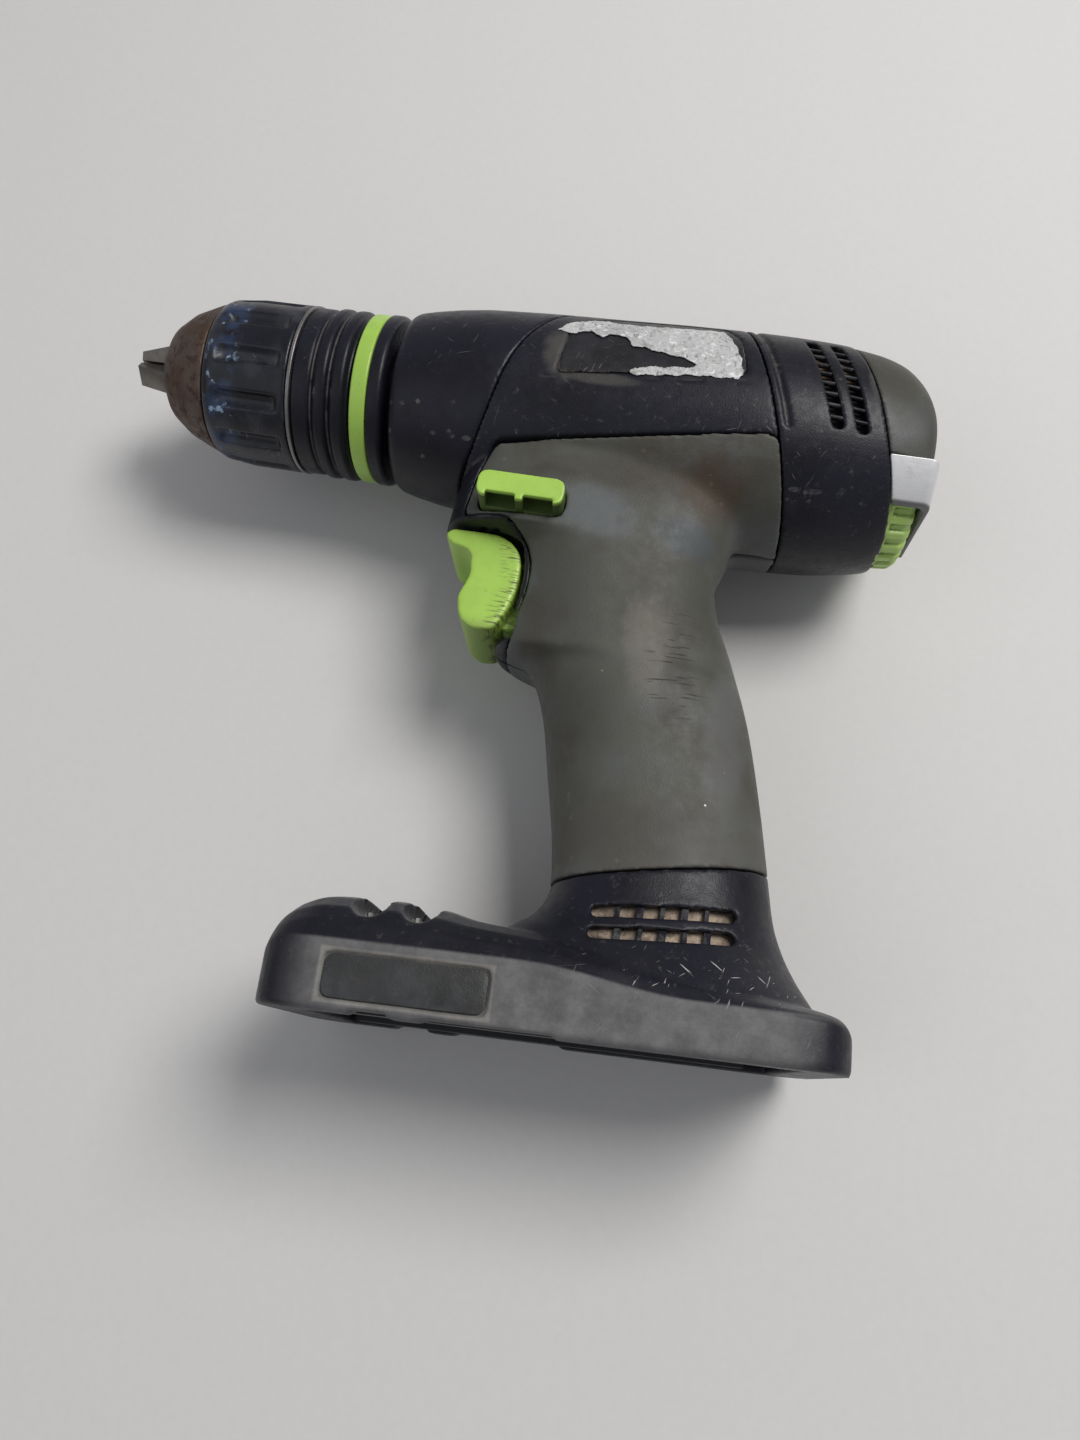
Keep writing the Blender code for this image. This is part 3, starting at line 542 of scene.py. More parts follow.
def build_housing(look):
    outer = join(tool_body("outer", 0), foot_solid("foot_outer"))
    cut(outer, seam_side("nose_space", 0.2, -1))
    cut(outer, raked_half("rear_space", GROOVE_REAR, 1))
    cut(outer, tool_body("hollow", WALL))
    cavity = []
    for s, top in ((66.0, 18.6), (108.0, 16.0)):
        corners = ((-26, 11.8), (26, 11.8), (19, top), (-19, top))
        cavity.append([foot_point(s, y, h) for y, h in corners])
    cut(outer, join(loft("cavity", cavity), foot_block("wire_way", 84, 106, -13, 13, 12.8, 27)))
    cut(outer, foot_block("battery_slot", 34.0, 132.0, -24.0, 24.0, -5, 8.6))
    cut(outer, foot_block("lock_notch_1", 44.0, 52.0, -40, 40, -2, 0.9))
    cut(outer, foot_block("lock_notch_2", 58.0, 84.0, -40, 40, -2, 0.7))
    for i, s in enumerate((44.1, 54.4)):
        cut(outer, across(rod(f"groove_{i}", -45, 45, 3.6), *foot_point(s, 0, 22.4)))
    cut(outer, trigger_space("trigger_space"))
    cut(outer, button_window("button_window"))
    for side in (-1, 1):
        for row in (0, 1):
            cut(outer, handle_vent(f"vent_{side}_{row}", row, side))
    zone = prism("grip_zone", grip_outline(-GAP), -60, 60)
    cut(outer, cut(zone, tool_body("grip_core", 2.3)))
    cut(outer, block("selector_window", (84.5, -6.4, 20), (104.5, 6.4, 40)))
    for side in (-1, 1):
        recess = plate_zone("recess", side, -GAP)
        cut(outer, cut(recess, head_solid("recess_floor", 1.0, 0, 8)))
        cut(outer, foot_plate_block("foot_recess", side, 0.5, 1.2, -5.0))
        line = rounded(((63.5, -5.2), (114, -1.2), (114, -0.4), (63.5, -4.4)), 0.3)
        ledge = prism("ledge", line, 5 * side, 50 * side)
        cut(outer, cut(ledge, head_solid("ledge_floor", 0.5, 0, 8)))
    for x, z in SCREWS:
        cut(outer, screw_hole(x, z))
    for side, label in SIDES:
        half = common(copy_of(outer, f"housing_{label}"), half_space(side))
        moulded(half, 0.52, 5, GRIP_SLOPE)
        node = f"housing_{label}"
        piece(half, f"{node}_shell", "housing", look, node)
    bpy.data.objects.remove(outer, do_unlink=True)


def blend_crease(obj):
    """Relaxes the skin strongly where the handle runs into the head, away from its edges."""
    count = len(obj.data.vertices)
    flat = np.empty(count * 3)
    obj.data.vertices.foreach_get("co", flat)
    x, y, z = flat.reshape(-1, 3).T / MM
    low = np.where(x < 79, -29.0, -44.0)
    weight = np.clip((-17.6 - z) / 3.0, 0, 1) * np.clip((z - low) / 5.0, 0, 1)
    weight *= np.clip((GROOVE_REAR - 1.0 - RAKE * z - x) / 4.0, 0, 1)
    weight *= np.clip((x - 54.0) / 4.0, 0, 1)
    weight *= np.clip((np.abs(y) - 0.6) / 2.0, 0.25, 1)
    group = obj.vertex_groups.new(name="crease")
    for level in range(1, 11):
        chosen = np.nonzero(np.round(weight * 10) == level)[0]
        if len(chosen):
            group.add(chosen.tolist(), level / 10, "REPLACE")
    relax = obj.modifiers.new("blend", "SMOOTH")
    relax.vertex_group = "crease"
    relax.factor = 0.8
    relax.iterations = 160
    settle(obj)


def build_grips(look):
    skin = common(tool_body("skin", -0.05), prism("grip_zone", grip_outline(0), -60, 60))
    cut(skin, tool_body("grip_core", 2.0))
    cut(skin, raked_half("rear_space", GROOVE_REAR, 1))
    cut(skin, button_window("button_window"))
    cut(skin, trigger_space("trigger_space"))
    for x, z in SCREWS:
        cut(skin, screw_hole(x, z))
    for side, label in SIDES:
        half = common(copy_of(skin, f"grip_{label}"), half_space(side))
        moulded(half, 0.42, 7, GRIP_SLOPE)
        blend_crease(half)
        piece(half, f"grip_{label}_skin", "housing", look, f"grip_{label}")
    bpy.data.objects.remove(skin, do_unlink=True)


def build_nose(look):
    outline = (
        (21.6, 14.4), (26.4, 14.4), (26.4, 21.6), (28.0, 22.9), (32.4, 23.9), (38.0, 24.9),
        (46.0, 25.9), (60.0, 26.7), (80.0, 27.5), (80.0, 23.4), (46.0, 22.8), (44.0, 16.0),
        (29.0, 16.0), (29.0, 9.5), (21.6, 9.5),
    )
    shell = cut(turned("nose", rounded(outline, 0.8, 3)), seam_side("body_space", -0.1, 1))
    moulded(shell, 0.45, 8)
    piece(shell, "nose_shell", "housing", look, "nose_housing")


def build_rear(look, cap_look, dust_look):
    shell = head_solid("rear", 0, 4, 10)
    cut(shell, head_solid("rear_hollow", 2.6, 3, 11))
    cut(shell, raked_half("front_space", GROOVE_REAR + GAP, -1))
    cut(shell, raked_half("cap_space", RIM_X, 1))
    cut(shell, dial_space("dial_space"))
    for side in (-1, 1):
        for x in (131.2, 137.0):
            cut(shell, vent_column("vent", x, side))
    # channel beside the panel joint, which stops above the grip's top edge
    for side in (-1, 1):
        ends = ((118.6, -10.5), (120.2, -10.5), (120.2, 40), (118.6, 40))
        outline = rounded([(x - RAKE * z, z) for x, z in ends], 0.6)
        channel = prism("channel", outline, 2 * side, 50 * side)
        cut(shell, cut(channel, head_solid("channel_floor", 0.8, 4, 10)))
    moulded(shell, 0.42, 6)
    piece(shell, "rear_shell", "housing", look, "rear_housing")

    dome = cut(head_solid("cap", 0.1, 6), head_solid("cap_hollow", 2.6, 5, 11))
    cut(dome, dial_space("dial_space"))
    cut(dome, raked_half("front_space", RIM_X + GAP, -1))
    cut(dome, block("below", (100, -50, -60), (200, 50, -11.3)))
    moulded(dome, 0.4, 4)
    piece(dome, "rear_cap_shell", "housing", cap_look, "rear_cap")

    # rungs across the two vent columns, and the screen behind them, dusty and painted with shade
    # low down
    for side, label in SIDES:
        rungs = None
        for x in (131.2, 137.0):
            for k in range(8):
                z = -6.2 + 2.9 * k
                low = (x - RAKE * z - 2.0, 14 * side, z - 0.24)
                high = (x - RAKE * z + 2.0, 50 * side, z + 0.24)
                rung = soften(block("rung", low, high), 0.15, 2)
                rungs = join(rungs, rung) if rungs else rung
        common(rungs, head_solid("rung_top", 0.5, 4, 10))
        cut(rungs, head_solid("rung_floor", 1.9, 4, 10))
        piece(rungs, f"rear_vent_rungs_{label}", "housing", look)
        screen = head_solid("screen", 2.75, 4, 9)
        cut(screen, head_solid("screen_core", 3.4, 3, 10))
        column = vent_column("zone", 131.2, side, 1.0)
        common(screen, join(column, vent_column("zone", 137.0, side, 1.0)))
        piece(screen, f"rear_vent_screen_{label}", "housing", dust_look)


def build_bezel(look):
    inner = 25.7
    outline = (
        (145.0, 26.9), (156.9, 26.9), (158.1, 26.3), (158.5, 25.4), (158.5, 0.02),
        (157.3, 0.02), (157.3, inner - 1.2), (156.4, inner), (145.0, inner),
    )
    cup = turned("bezel", rounded(outline, 0.6, 3), 192)
    common(cup, block("band", (140, -40, -20.2), (170, 8.0, -11.6)))
    cut(cup, raked_half("front_space", RIM_X + GAP, -1))
    moulded(cup, 0.26, 3)
    piece(cup, "rear_bezel_trim", "housing", look, "rear_bezel")


def build_plates(look, foot_look, paper):
    for side, label in SIDES:
        plate = cut(head_solid("plate", 0.15, 1, 6), head_solid("plate_core", 0.8, 0, 7))
        common(plate, plate_zone("plate_zone", side, 0))
        moulded(plate, 0.4, 2)
        node = f"side_plate_{label}"
        piece(plate, f"side_panel_{label}", "housing", look, node)
        plate = foot_plate_block("plate", side, 0, 0.9, 0.25)
        soften(plate, 0.3)
        node = f"foot_plate_{label}"
        piece(plate, f"foot_panel_{label}", "housing", foot_look, node)
    piece(torn_sheet(), "torn_blank_label", "housing", paper)


def torn_sheet():
    """What is left of a paper label: small cells inside a ragged outline, laid on the head."""
    outline = flowing([(x, z, 0) for x, z in (*TORN_LABEL, TORN_LABEL[0])], 260)[:-1, :2]
    turn = np.arange(len(outline))
    outline[:, 0] += 0.24 * np.sin(turn * 0.83) + 0.09 * np.sin(turn * 2.9)
    outline[:, 1] += 0.20 * np.sin(turn * 0.71 + 1) + 0.09 * np.sin(turn * 2.3)
    cell = 0.17
    xs = np.arange(outline[:, 0].min() - cell, outline[:, 0].max() + cell, cell)
    zs = np.arange(outline[:, 1].min() - cell, outline[:, 1].max() + cell, cell)
    bm = bmesh.new()
    verts = {}

    def corner(i, k):
        if (i, k) not in verts:
            x, z = xs[0] + i * cell, zs[0] + k * cell
            half, tall, centre = (np.interp(x, *np.array(HEAD).T[[0, c]]) for c in (1, 2, 3))
            reach = half * math.sqrt(1 - ((z - centre) / tall) ** 2)
            crease = 0.05 * math.sin(1.9 * x + 2.3 * z) * math.sin(1.1 * z - 1.7 * x)
            verts[i, k] = bm.verts.new((x, -(reach + 0.16 + crease), z))
        return verts[i, k]

    ahead = np.roll(outline, -1, axis=0)
    for i in range(len(xs) - 1):
        for k in range(len(zs) - 1):
            x, z = xs[i] + cell / 2, zs[k] + cell / 2
            crosses = (outline[:, 1] > z) != (ahead[:, 1] > z)
            rise = np.where(crosses, ahead[:, 1] - outline[:, 1], 1.0)
            at = outline[:, 0] + (z - outline[:, 1]) * (ahead[:, 0] - outline[:, 0]) / rise
            if np.count_nonzero(crosses & (at > x)) % 2:
                steps = ((0, 0), (1, 0), (1, 1), (0, 1))
                bm.faces.new([corner(i + a, k + b) for a, b in steps])
    sheet = finish_mesh("label", bm)
    thick = sheet.modifiers.new("thick", "SOLIDIFY")
    thick.thickness = 0.12 * MM
    thick.offset = 0.0
    return settle(sheet)


def build_handle_vents(look, dust_look):
    """Ribs and dusty webs behind the two rows of slots low on the handle."""
    for side, label in SIDES:
        ribs = None
        for row in (0, 1):
            for k in range(5):
                x = 101.9 + 4.5 * k + 0.5 * row
                z = VENT_Z - VENT_PITCH * row + 4.0 * (x - VENT_X[0]) / (VENT_X[1] - VENT_X[0])
                thick = 0.45 + 0.25 * ((k + row) % 2)
                low = (x - thick, 12 * side, z - 2.4)
                high = (x + thick, 40 * side, z + 2.4)
                rib = block("rib", low, high)
                ribs = join(ribs, rib) if ribs else rib
        common(ribs, handle_solid("rib_top", 1.3))
        cut(ribs, handle_solid("rib_floor", 2.9))
        soften(ribs, 0.12, 2)
        piece(ribs, f"handle_vent_ribs_{label}", "housing", look)
        screen = cut(handle_solid("screen", 3.05, 9, 15), handle_solid("screen_core", 3.7, 8, 16))
        zones = []
        for front, rear in ((-129.5, -124.6), (-134, -129.5)):
            outline = ((95, front), (127.5, rear), (127.5, -118), (95, -123))
            zones.append(prism("zone", outline, 12 * side, 40 * side))
        common(screen, join(*zones))
        piece(screen, f"handle_vent_screen_{label}", "housing", dust_look)


def build_screws(look):
    for i, (x, z) in enumerate(SCREWS):
        outline = ((0.02, 0.02), (0.02, 1.3), (3.2, 1.4), (3.2, 2.6), (4.8, 2.5), (4.8, 0.02))
        screw = turned("screw", rounded(outline, 0.25, 3), 48)
        star = [
            (1.35 * f * math.cos(a), 1.35 * f * math.sin(a))
            for a, f in ((math.tau * k / 12, 1.0 if k % 2 else 0.72) for k in range(12))
        ]
        socket = loft("socket", [[(x2, u, v) for u, v in rounded(star, 0.3)] for x2 in (3.4, 6.0)])
        cut(screw, socket)
        across(screw, x, side_reach(z) - 5.3, z)
        node = f"case_screw_{i + 1}"
        piece(screw, f"case_screw_head_{i + 1}", "housing", look, node)


# ---------------------------------------------------------------- chuck and collars


def build_chuck(plastic, sleeve_look, green, ring_look):
    section = (
        (-22.9, 18.0), (-22.9, 19.7), (-21.0, 20.6), (-14.0, 21.4), (-0.4, 21.5), (-0.4, 18.0),
    )
    outline = rounded(section, 0.7, 4)

    def flutes(x, r, angle):
        if r < 18.5:
            return r
        pitch = math.tau / 12
        off = (angle % pitch - pitch / 2) * r
        along = min(max((x + 20.4) / 2.6, 0.0), 1.0) * min(max((-2.0 - x) / 1.8, 0.0), 1.0)
        along = along * along * (3 - 2 * along)
        groove = max(0.0, 1.0 - (off / 2.3) ** 2) ** 0.8
        flat = 0.12 * (1 - math.cos(angle * 12)) / 2
        return r - along * (1.6 * groove + flat)

    sleeve = turned("sleeve", divided(outline, 0.45), 360, 0.0, flutes)
    piece(sleeve, "chuck_sleeve_grip", "sleeve", sleeve_look, "chuck_sleeve")
    band = ((-0.1, 18.0), (-0.1, 21.6), (0.8, 21.6), (0.8, 18.0))
    ring = turned("ring", rounded(band, 0.25), 160)
    piece(ring, "sleeve_edge_ring", "sleeve", ring_look, "sleeve_ring")

    collar = [(1.1, 13.8), (1.1, 21.2), (5.4, 21.2), (6.0, 20.2)]
    for x0, x1 in ((6.6, 10.4), (11.0, 15.0)):
        collar += [(x0 + 0.8, 21.7), (x1 - 0.8, 21.7), (x1, 20.2)]
    collar += [(15.6, 20.0), (15.6, 13.8)]
    made = turned("collar", rounded(collar, 0.7, 5), 160)
    piece(made, "chuck_collar_ribs", "chuck", plastic, "chuck_collar")

    band = ((16.3, 15.0), (16.3, 21.5), (20.4, 21.5), (20.4, 15.0))
    made = turned("green", rounded(band, 0.6, 4), 160)
    piece(made, "release_ring_band", "release", green, "release_ring")
    band = ((20.7, 15.0), (20.7, 21.75), (23.5, 21.75), (24.3, 21.0), (24.3, 15.0))
    made = turned("lock", rounded(band, 0.5, 4), 160)
    piece(made, "lock_collar_band", "release", plastic, "lock_collar")


# ---------------------------------------------------------------- dial and controls


def build_dial(look):
    section = (
        (148.6, 3.0), (148.6, 21.0), (154.8, 20.4), (156.0, 19.4), (156.4, 18.0), (156.4, 3.0),
    )
    rows = rounded(section, 0.4)

    def ribs(x, r, angle):
        if r < 17.6 or x < 150.6:
            return r
        wave = math.cos(angle * 30)
        rise = min(1.0, (x - 150.6) / 0.5)
        return r - 0.9 * rise * min(1.0, max(0.0, 0.45 - 1.3 * wave))

    wheel = turned("wheel", divided(rows, 0.5), 480, -5.0, ribs)
    piece(wheel, "torque_dial_wheel", "dial", look, "torque_dial")


def build_trigger(look):
    lever = prism("lever", curved(TRIGGER, 6), -11.5, 11.5)
    moulded(lever, 0.6, 1)
    soften_all = lever.modifiers.new("relax", "SMOOTH")
    soften_all.factor = 0.5
    soften_all.iterations = 8
    settle(lever)
    join(lever, block("stem", (60, -6, -62), (72.2, 6, -44)))
    moulded(lever, 0.34, 3)
    piece(lever, "trigger_lever", "trigger", look, "trigger")


def build_button(look):
    x0, x1, z0, z1 = 54.0, 74.4, -37.2, -30.6
    outline = rounded(((x0, z0), (x1, z0), (x1, z1), (x0, z1)), 2.6, 6)
    bar = prism("bar", outline, -24.8, 18.3)
    for x in (x0 + 2.2, x0 + 11.1):
        cut(bar, block("pocket", (x, -23.4, z0 - 3), (x + 7.1, -18.8, z0 + 4.2)))
        cut(bar, block("mouth", (x, -26.0, z0 - 3), (x + 7.1, -22.0, z0 + 1.3)))
        cut(bar, block("pocket", (x, 12.3, z0 - 3), (x + 7.1, 16.9, z0 + 4.2)))
    moulded(bar, 0.26, 5)
    piece(bar, "direction_button_bar", "direction", look, "direction_button")


def build_selector(look):
    knob = block("knob", (85.0, -6.0, 26.6), (96.0, 6.0, 30.0))
    for k in range(4):
        x = 87.2 + 2.2 * k
        notch = ((x - 0.5, 31), (x + 0.5, 31), (x + 0.2, 29.1), (x - 0.2, 29.1))
        cut(knob, prism("notch", notch, -8, 8))
    join(knob, block("tongue", (87.0, -4.5, 24.4), (94.0, 4.5, 27.2)))
    moulded(knob, 0.24, 3)
    piece(knob, "gear_selector_knob", "gear_knob", look, "gear_selector")


def jaw_outline(grow=0.0, shift=0.0):
    slope = math.tan(math.radians(17))
    rise = 4.2 + 23.3 * slope
    rear_low = 0.45 + 13.0 * slope
    return (
        (-47.3 - 4 * grow, 0.45 - grow),
        (-47.3 - 4 * grow, 4.2 + grow - 4 * grow * slope),
        (-24.0 + shift + grow, rise + shift * slope + grow * (1 + slope)),
        (-22.0 + shift + grow, rear_low + shift * slope - grow),
        (-35.0, 0.45 - grow),
    )


def jaw_solid(name, angle, grow=0.0, shift=0.0):
    half = 2.8 + grow
    solid = prism(name, jaw_outline(grow, shift), -half, half)
    solid.data.transform(Matrix.Rotation(angle, 4, "X"))
    return solid


def build_nose_cone(look, jaw_look):
    outline = [
        (-38.5, 6.4), (-38.5, 8.2), (-35.8, 12.6), (-31.0, 16.2), (-24.0, 19.2), (-23.3, 19.2),
        (-23.3, 16.5), (-1.0, 16.5), (0.7, 13.5), (15.0, 13.5), (15.0, 7.8), (4.0, 7.8),
        (4.0, 3.0), (-1.0, 3.0), (-1.0, 6.4),
    ]
    cone = turned("cone", rounded(outline, 0.6, 3), 128)
    for i, angle in enumerate((30.0, 150.0, 270.0)):
        turn = math.radians(angle)
        cut(cone, jaw_solid("slot", turn, 0.4, 19.6))
        jaw = jaw_solid("jaw", turn)
        apex = 0.35
        rise = apex + 14.0 / math.tan(math.radians(60))
        section = ((0, apex), (14.0, rise), (14.0, 30), (-14.0, 30), (-14.0, rise))
        sector = loft("sector", [[(x, y, z) for y, z in section] for x in (-60, 20)])
        sector.data.transform(Matrix.Rotation(turn, 4, "X"))
        common(jaw, sector)
        soften(jaw, 0.22, 2)
        piece(jaw, f"jaw_{i + 1}_worn", f"jaw_{'abc'[i]}", jaw_look, f"jaw_{i + 1}")
    cone.data.set_sharp_from_angle(angle=math.radians(40))
    piece(cone, "chuck_nose_cone", "chuck", look, "chuck_body")


# ---------------------------------------------------------------- materials


def add(tree, kind, values=None, **props):
    """A new shader node, with its inputs set or linked."""
    made = tree.nodes.new(kind)
    for key, value in props.items():
        setattr(made, key, value)
    for key, value in (values or {}).items():
        value = value.socket if isinstance(value, Field) else value
        if isinstance(value, bpy.types.NodeSocket):
            tree.links.new(value, made.inputs[key])
        else:
            made.inputs[key].default_value = value
    return made


class Field:
    """A number that varies over a surface. Arithmetic on it adds Math nodes to its material."""

    def __init__(self, tree, socket):
        self.tree = tree
        self.socket = socket

    def math(self, operation, other=0.0):
        made = add(self.tree, "ShaderNodeMath", {0: self, 1: other}, operation=operation)
        return Field(self.tree, made.outputs[0])

    def __add__(self, other):
        return self.math("ADD", other)

    def __sub__(self, other):
        return self.math("SUBTRACT", other)

    def __mul__(self, other):
        return self.math("MULTIPLY", other)

    def __truediv__(self, other):
        return self.math("DIVIDE", other)

    def __pow__(self, other):
        return self.math("POWER", other)

    def __abs__(self):
        return self.math("ABSOLUTE")

    def most(self, other):
        return self.math("MAXIMUM", other)

    def step(self, low, high, first=0.0, last=1.0):
        """A smooth step from first at low to last at high."""
        values = {0: self, 1: low, 2: high, 3: first, 4: last}
        made = add(self.tree, "ShaderNodeMapRange", values, interpolation_type="SMOOTHSTEP")
        return Field(self.tree, made.outputs[0])

    def band(self, low, high, soft):
        """1 between low and high, and 0 outside."""
        rise = self.step(low - soft, low + soft)
        return rise * self.step(high - soft, high + soft, 1.0, 0.0)


def mixed(tree, share, a, b):
    """Colour a, turned into colour b by a share."""
    values = {0: share}
    for index, colour in ((6, a), (7, b)):
        linked = isinstance(colour, bpy.types.NodeSocket)
        values[index] = colour if linked else (*colour, 1.0)
    return add(tree, "ShaderNodeMix", values, data_type="RGBA").outputs[2]


def noise(tree, coord, scale, detail=4.0, rough=0.55, stretch=None, turn=(0, 0, 0), warp=0.0):
    if stretch:
        coord = add(tree, "ShaderNodeMapping", {"Vector": coord, "Rotation": turn}).outputs[0]
        coord = add(tree, "ShaderNodeMapping", {"Vector": coord, "Scale": stretch}).outputs[0]
    values = {"Vector": coord, "Scale": scale, "Detail": detail}
    values |= {"Roughness": rough, "Distortion": warp}
    return Field(tree, add(tree, "ShaderNodeTexNoise", values).outputs[0])


class Skin:
    """The layers of one material, built up over a base colour, roughness and height."""

    def __init__(self, name, base, rough, variation=0.25):
        self.made = bpy.data.materials.new(name)
        self.made.use_nodes = True
        self.tree = self.made.node_tree
        place = add(self.tree, "ShaderNodeTexCoord").outputs["Object"]
        values = {"Vector": place, "Location": TOOL.translation, "Rotation": (0, NOSE_UP, 0)}
        mapping = add(self.tree, "ShaderNodeMapping", values, vector_type="TEXTURE")
        self.coord = mapping.outputs[0]
        axes = add(self.tree, "ShaderNodeSeparateXYZ", {0: self.coord}).outputs
        self.x, self.y, self.z = (Field(self.tree, axis) for axis in axes)
        geometry = add(self.tree, "ShaderNodeNewGeometry")
        self.point = Field(self.tree, geometry.outputs["Pointiness"])
        dark = tuple(c * (1 - variation) for c in base)
        light = tuple(c * (1 + variation) for c in base)
        self.colour = mixed(self.tree, self.noise(45.0, 5.0).step(0.35, 0.65), dark, light)
        self.rough = self.noise(420.0, 6.0, 0.65).step(0.3, 0.7, rough - 0.07, rough + 0.07)
        self.height = None

    def noise(self, *settings):
        return noise(self.tree, self.coord, *settings)

    def layer(self, mask, colour, rough=None, height=0.0):
        self.colour = mixed(self.tree, mask, self.colour, colour)
        if rough is not None:
            values = {0: mask, 2: self.rough, 3: rough}
            mix = add(self.tree, "ShaderNodeMix", values, data_type="FLOAT")
            self.rough = Field(self.tree, mix.outputs[0])
        if height:
            self.raise_by(mask * height)

    def raise_by(self, step):
        self.height = self.height + step if self.height else step

    def grain(self, scale, height):
        self.raise_by(self.noise(scale, 2.0, 0.5) * height)

    def blotches(self, scale, low, high, strength, colour, rough=None, detail=6.0):
        spot = self.noise(scale, detail, 0.62, (1, 1, 1), (0.4, 0.9, 0.2))
        self.layer(spot.step(low, high) * strength, colour, rough)

    def cavities(self, colour, strength):
        """Dirt in the hollows of the mesh."""
        spot = self.noise(260.0, 6.0, 0.7).step(0.3, 0.6)
        self.layer(self.point.step(0.495, 0.44) * spot * strength, colour, 0.85)

    def edges(self, colour, strength, rough=0.4):
        """Wear on the outward edges of the mesh."""
        spot = self.noise(190.0, 7.0, 0.7).step(0.42, 0.62)
        self.layer(self.point.step(0.525, 0.58) * spot * strength, colour, rough)

    def scratches(self, colour, strength, cover=0.5, where=None, height=-0.00002):
        """Fine lines in four directions, in scattered patches or in the place given."""
        if where is None:
            where = self.noise(38.0, 3.0).step(0.62 - 0.3 * cover, 0.78 - 0.3 * cover)
        lines = None
        for i, angle in enumerate((0.25, -0.6, 1.3, 0.8)):
            turn = (0.15 * i, angle, 0.1 * i)
            streak = self.noise(1.0, 1.5, 0.5, (110 + 40 * i, 240, 2500), turn, 0.3)
            line = streak.step(0.715, 0.77)
            lines = lines.most(line) if lines else line
        self.layer(lines * where * strength, colour, 0.6, height)

    def specks(self, colour, scale, size, share):
        """Round specks, on a share of the cells of a pattern."""
        values = {"Vector": self.coord, "Scale": scale}
        cell = add(self.tree, "ShaderNodeTexVoronoi", values, feature="F1")
        dot = Field(self.tree, cell.outputs["Distance"]).step(size, size * 0.6)
        parts = add(self.tree, "ShaderNodeSeparateColor", {0: cell.outputs["Color"]})
        chosen = Field(self.tree, parts.outputs[0]).step(1 - share, 1 - share + 0.01)
        self.layer(dot * chosen * 0.9, colour, 0.7, 0.00003)

    def done(self, metallic=0.0, specular=0.5):
        """Wires the layers into the shader."""
        values = {"Height": self.height, "Strength": 1.0, "Distance": 1.0}
        bump = add(self.tree, "ShaderNodeBump", values).outputs[0]
        inputs = self.tree.nodes["Principled BSDF"].inputs
        self.tree.links.new(self.colour, inputs["Base Color"])
        self.tree.links.new(self.rough.socket, inputs["Roughness"])
        self.tree.links.new(bump, inputs["Normal"])
        inputs["Metallic"].default_value = metallic
        inputs["Specular IOR Level"].default_value = specular
        return self.made


def shaded(colour, share):
    """A colour made darker or lighter, without going past white."""
    return tuple(min(1.0, c * share) for c in colour)


def foot_height(skin):
    """Height above the foot's underside and distance along the foot, in metres."""
    c, s = math.cos(NOSE_UP), math.sin(NOSE_UP)
    return skin.z * c + AXIS_HEIGHT * MM - skin.x * s, skin.x * c + skin.z * s


def near(skin, x, z, wide, tall, lean=0.0):
    """1 inside a ragged ellipse on the side of the tool and 0 outside, in millimetres."""
    up = (skin.z - z * MM) / (tall * MM)
    along = (skin.x - x * MM) / (wide * MM) + up * lean
    ragged = (skin.noise(110.0, 5.0, 0.65) - 0.5) * 1.6
    return (along**2 + up**2 + ragged).step(1.0, 0.05)


def black_housing():
    skin = Skin("black_plastic_worn", (0.0085, 0.0088, 0.0145), 0.40)
    skin.blotches(70.0, 0.5, 0.75, 0.5, (0.022, 0.021, 0.025), 0.5)
    # dusty upright side of the foot, below the step that runs along it
    height, along = foot_height(skin)
    below = (height - along.step(0.076, 0.110, 0.0137, 0.0100)).step(0.0004, -0.0004)
    side = abs(skin.y).step(0.0300, 0.0318)
    cloud = skin.noise(160.0, 7.0, 0.7).step(0.25, 0.75, 0.45, 1.0)
    dusty = below * side * along.band(0.034, 0.131, 0.006) * cloud
    skin.layer(dusty, (0.160, 0.156, 0.158), 0.7)
    # pale line round the panel in the foot's side
    past_end = abs(along - 0.0545) - 0.0160
    past_edge = abs(height - 0.0068) - 0.0042
    line = past_end.most(past_edge).band(0.0002, 0.0011, 0.0003)
    skin.layer(line * side * cloud * 0.7, (0.26, 0.25, 0.22), 0.8)
    # grey film on the top of the head
    film = skin.noise(120.0, 7.0, 0.72).step(0.35, 0.7)
    skin.layer(skin.z.step(0.008, 0.026) * film * 0.45, (0.10, 0.095, 0.085), 0.7)
    # scuffs before and below the side panel, and behind the vents
    for x, z, wide, tall, strength in (
        (67, 3, 5, 10, 0.5),
        (78, -4, 12, 2, 0.4),
        (142, 8, 3, 11, 0.5),
    ):
        scuff = near(skin, x, z, wide, tall, 0.2) * strength
        skin.layer(scuff, (0.105, 0.100, 0.088), 0.7)
    skin.blotches(620.0, 0.58, 0.75, 0.16, DUST, 0.8)
    skin.cavities(DUST, 0.4)
    skin.edges((0.12, 0.12, 0.125), 0.5)
    skin.scratches((0.22, 0.22, 0.22), 0.5, 0.4)
    # bright fresh scratches where the handle runs out into the foot
    fresh = height.band(0.0105, 0.019, 0.002) * along.band(0.096, 0.128, 0.005)
    skin.scratches((0.5, 0.49, 0.46), 0.95, 1.0, fresh)
    skin.grain(2600.0, 0.00005)
    return skin.done(specular=0.26)


def nose_plastic(name):
    skin = Skin(name, (0.0080, 0.0080, 0.0140), 0.38)
    skin.blotches(60.0, 0.5, 0.75, 0.4, (0.019, 0.018, 0.023), 0.46)
    skin.cavities(DUST, 0.5)
    skin.edges((0.14, 0.14, 0.14), 0.5)
    skin.scratches((0.20, 0.20, 0.205), 0.45, 0.5)
    skin.grain(2600.0, 0.00004)
    return skin.done(specular=0.26)
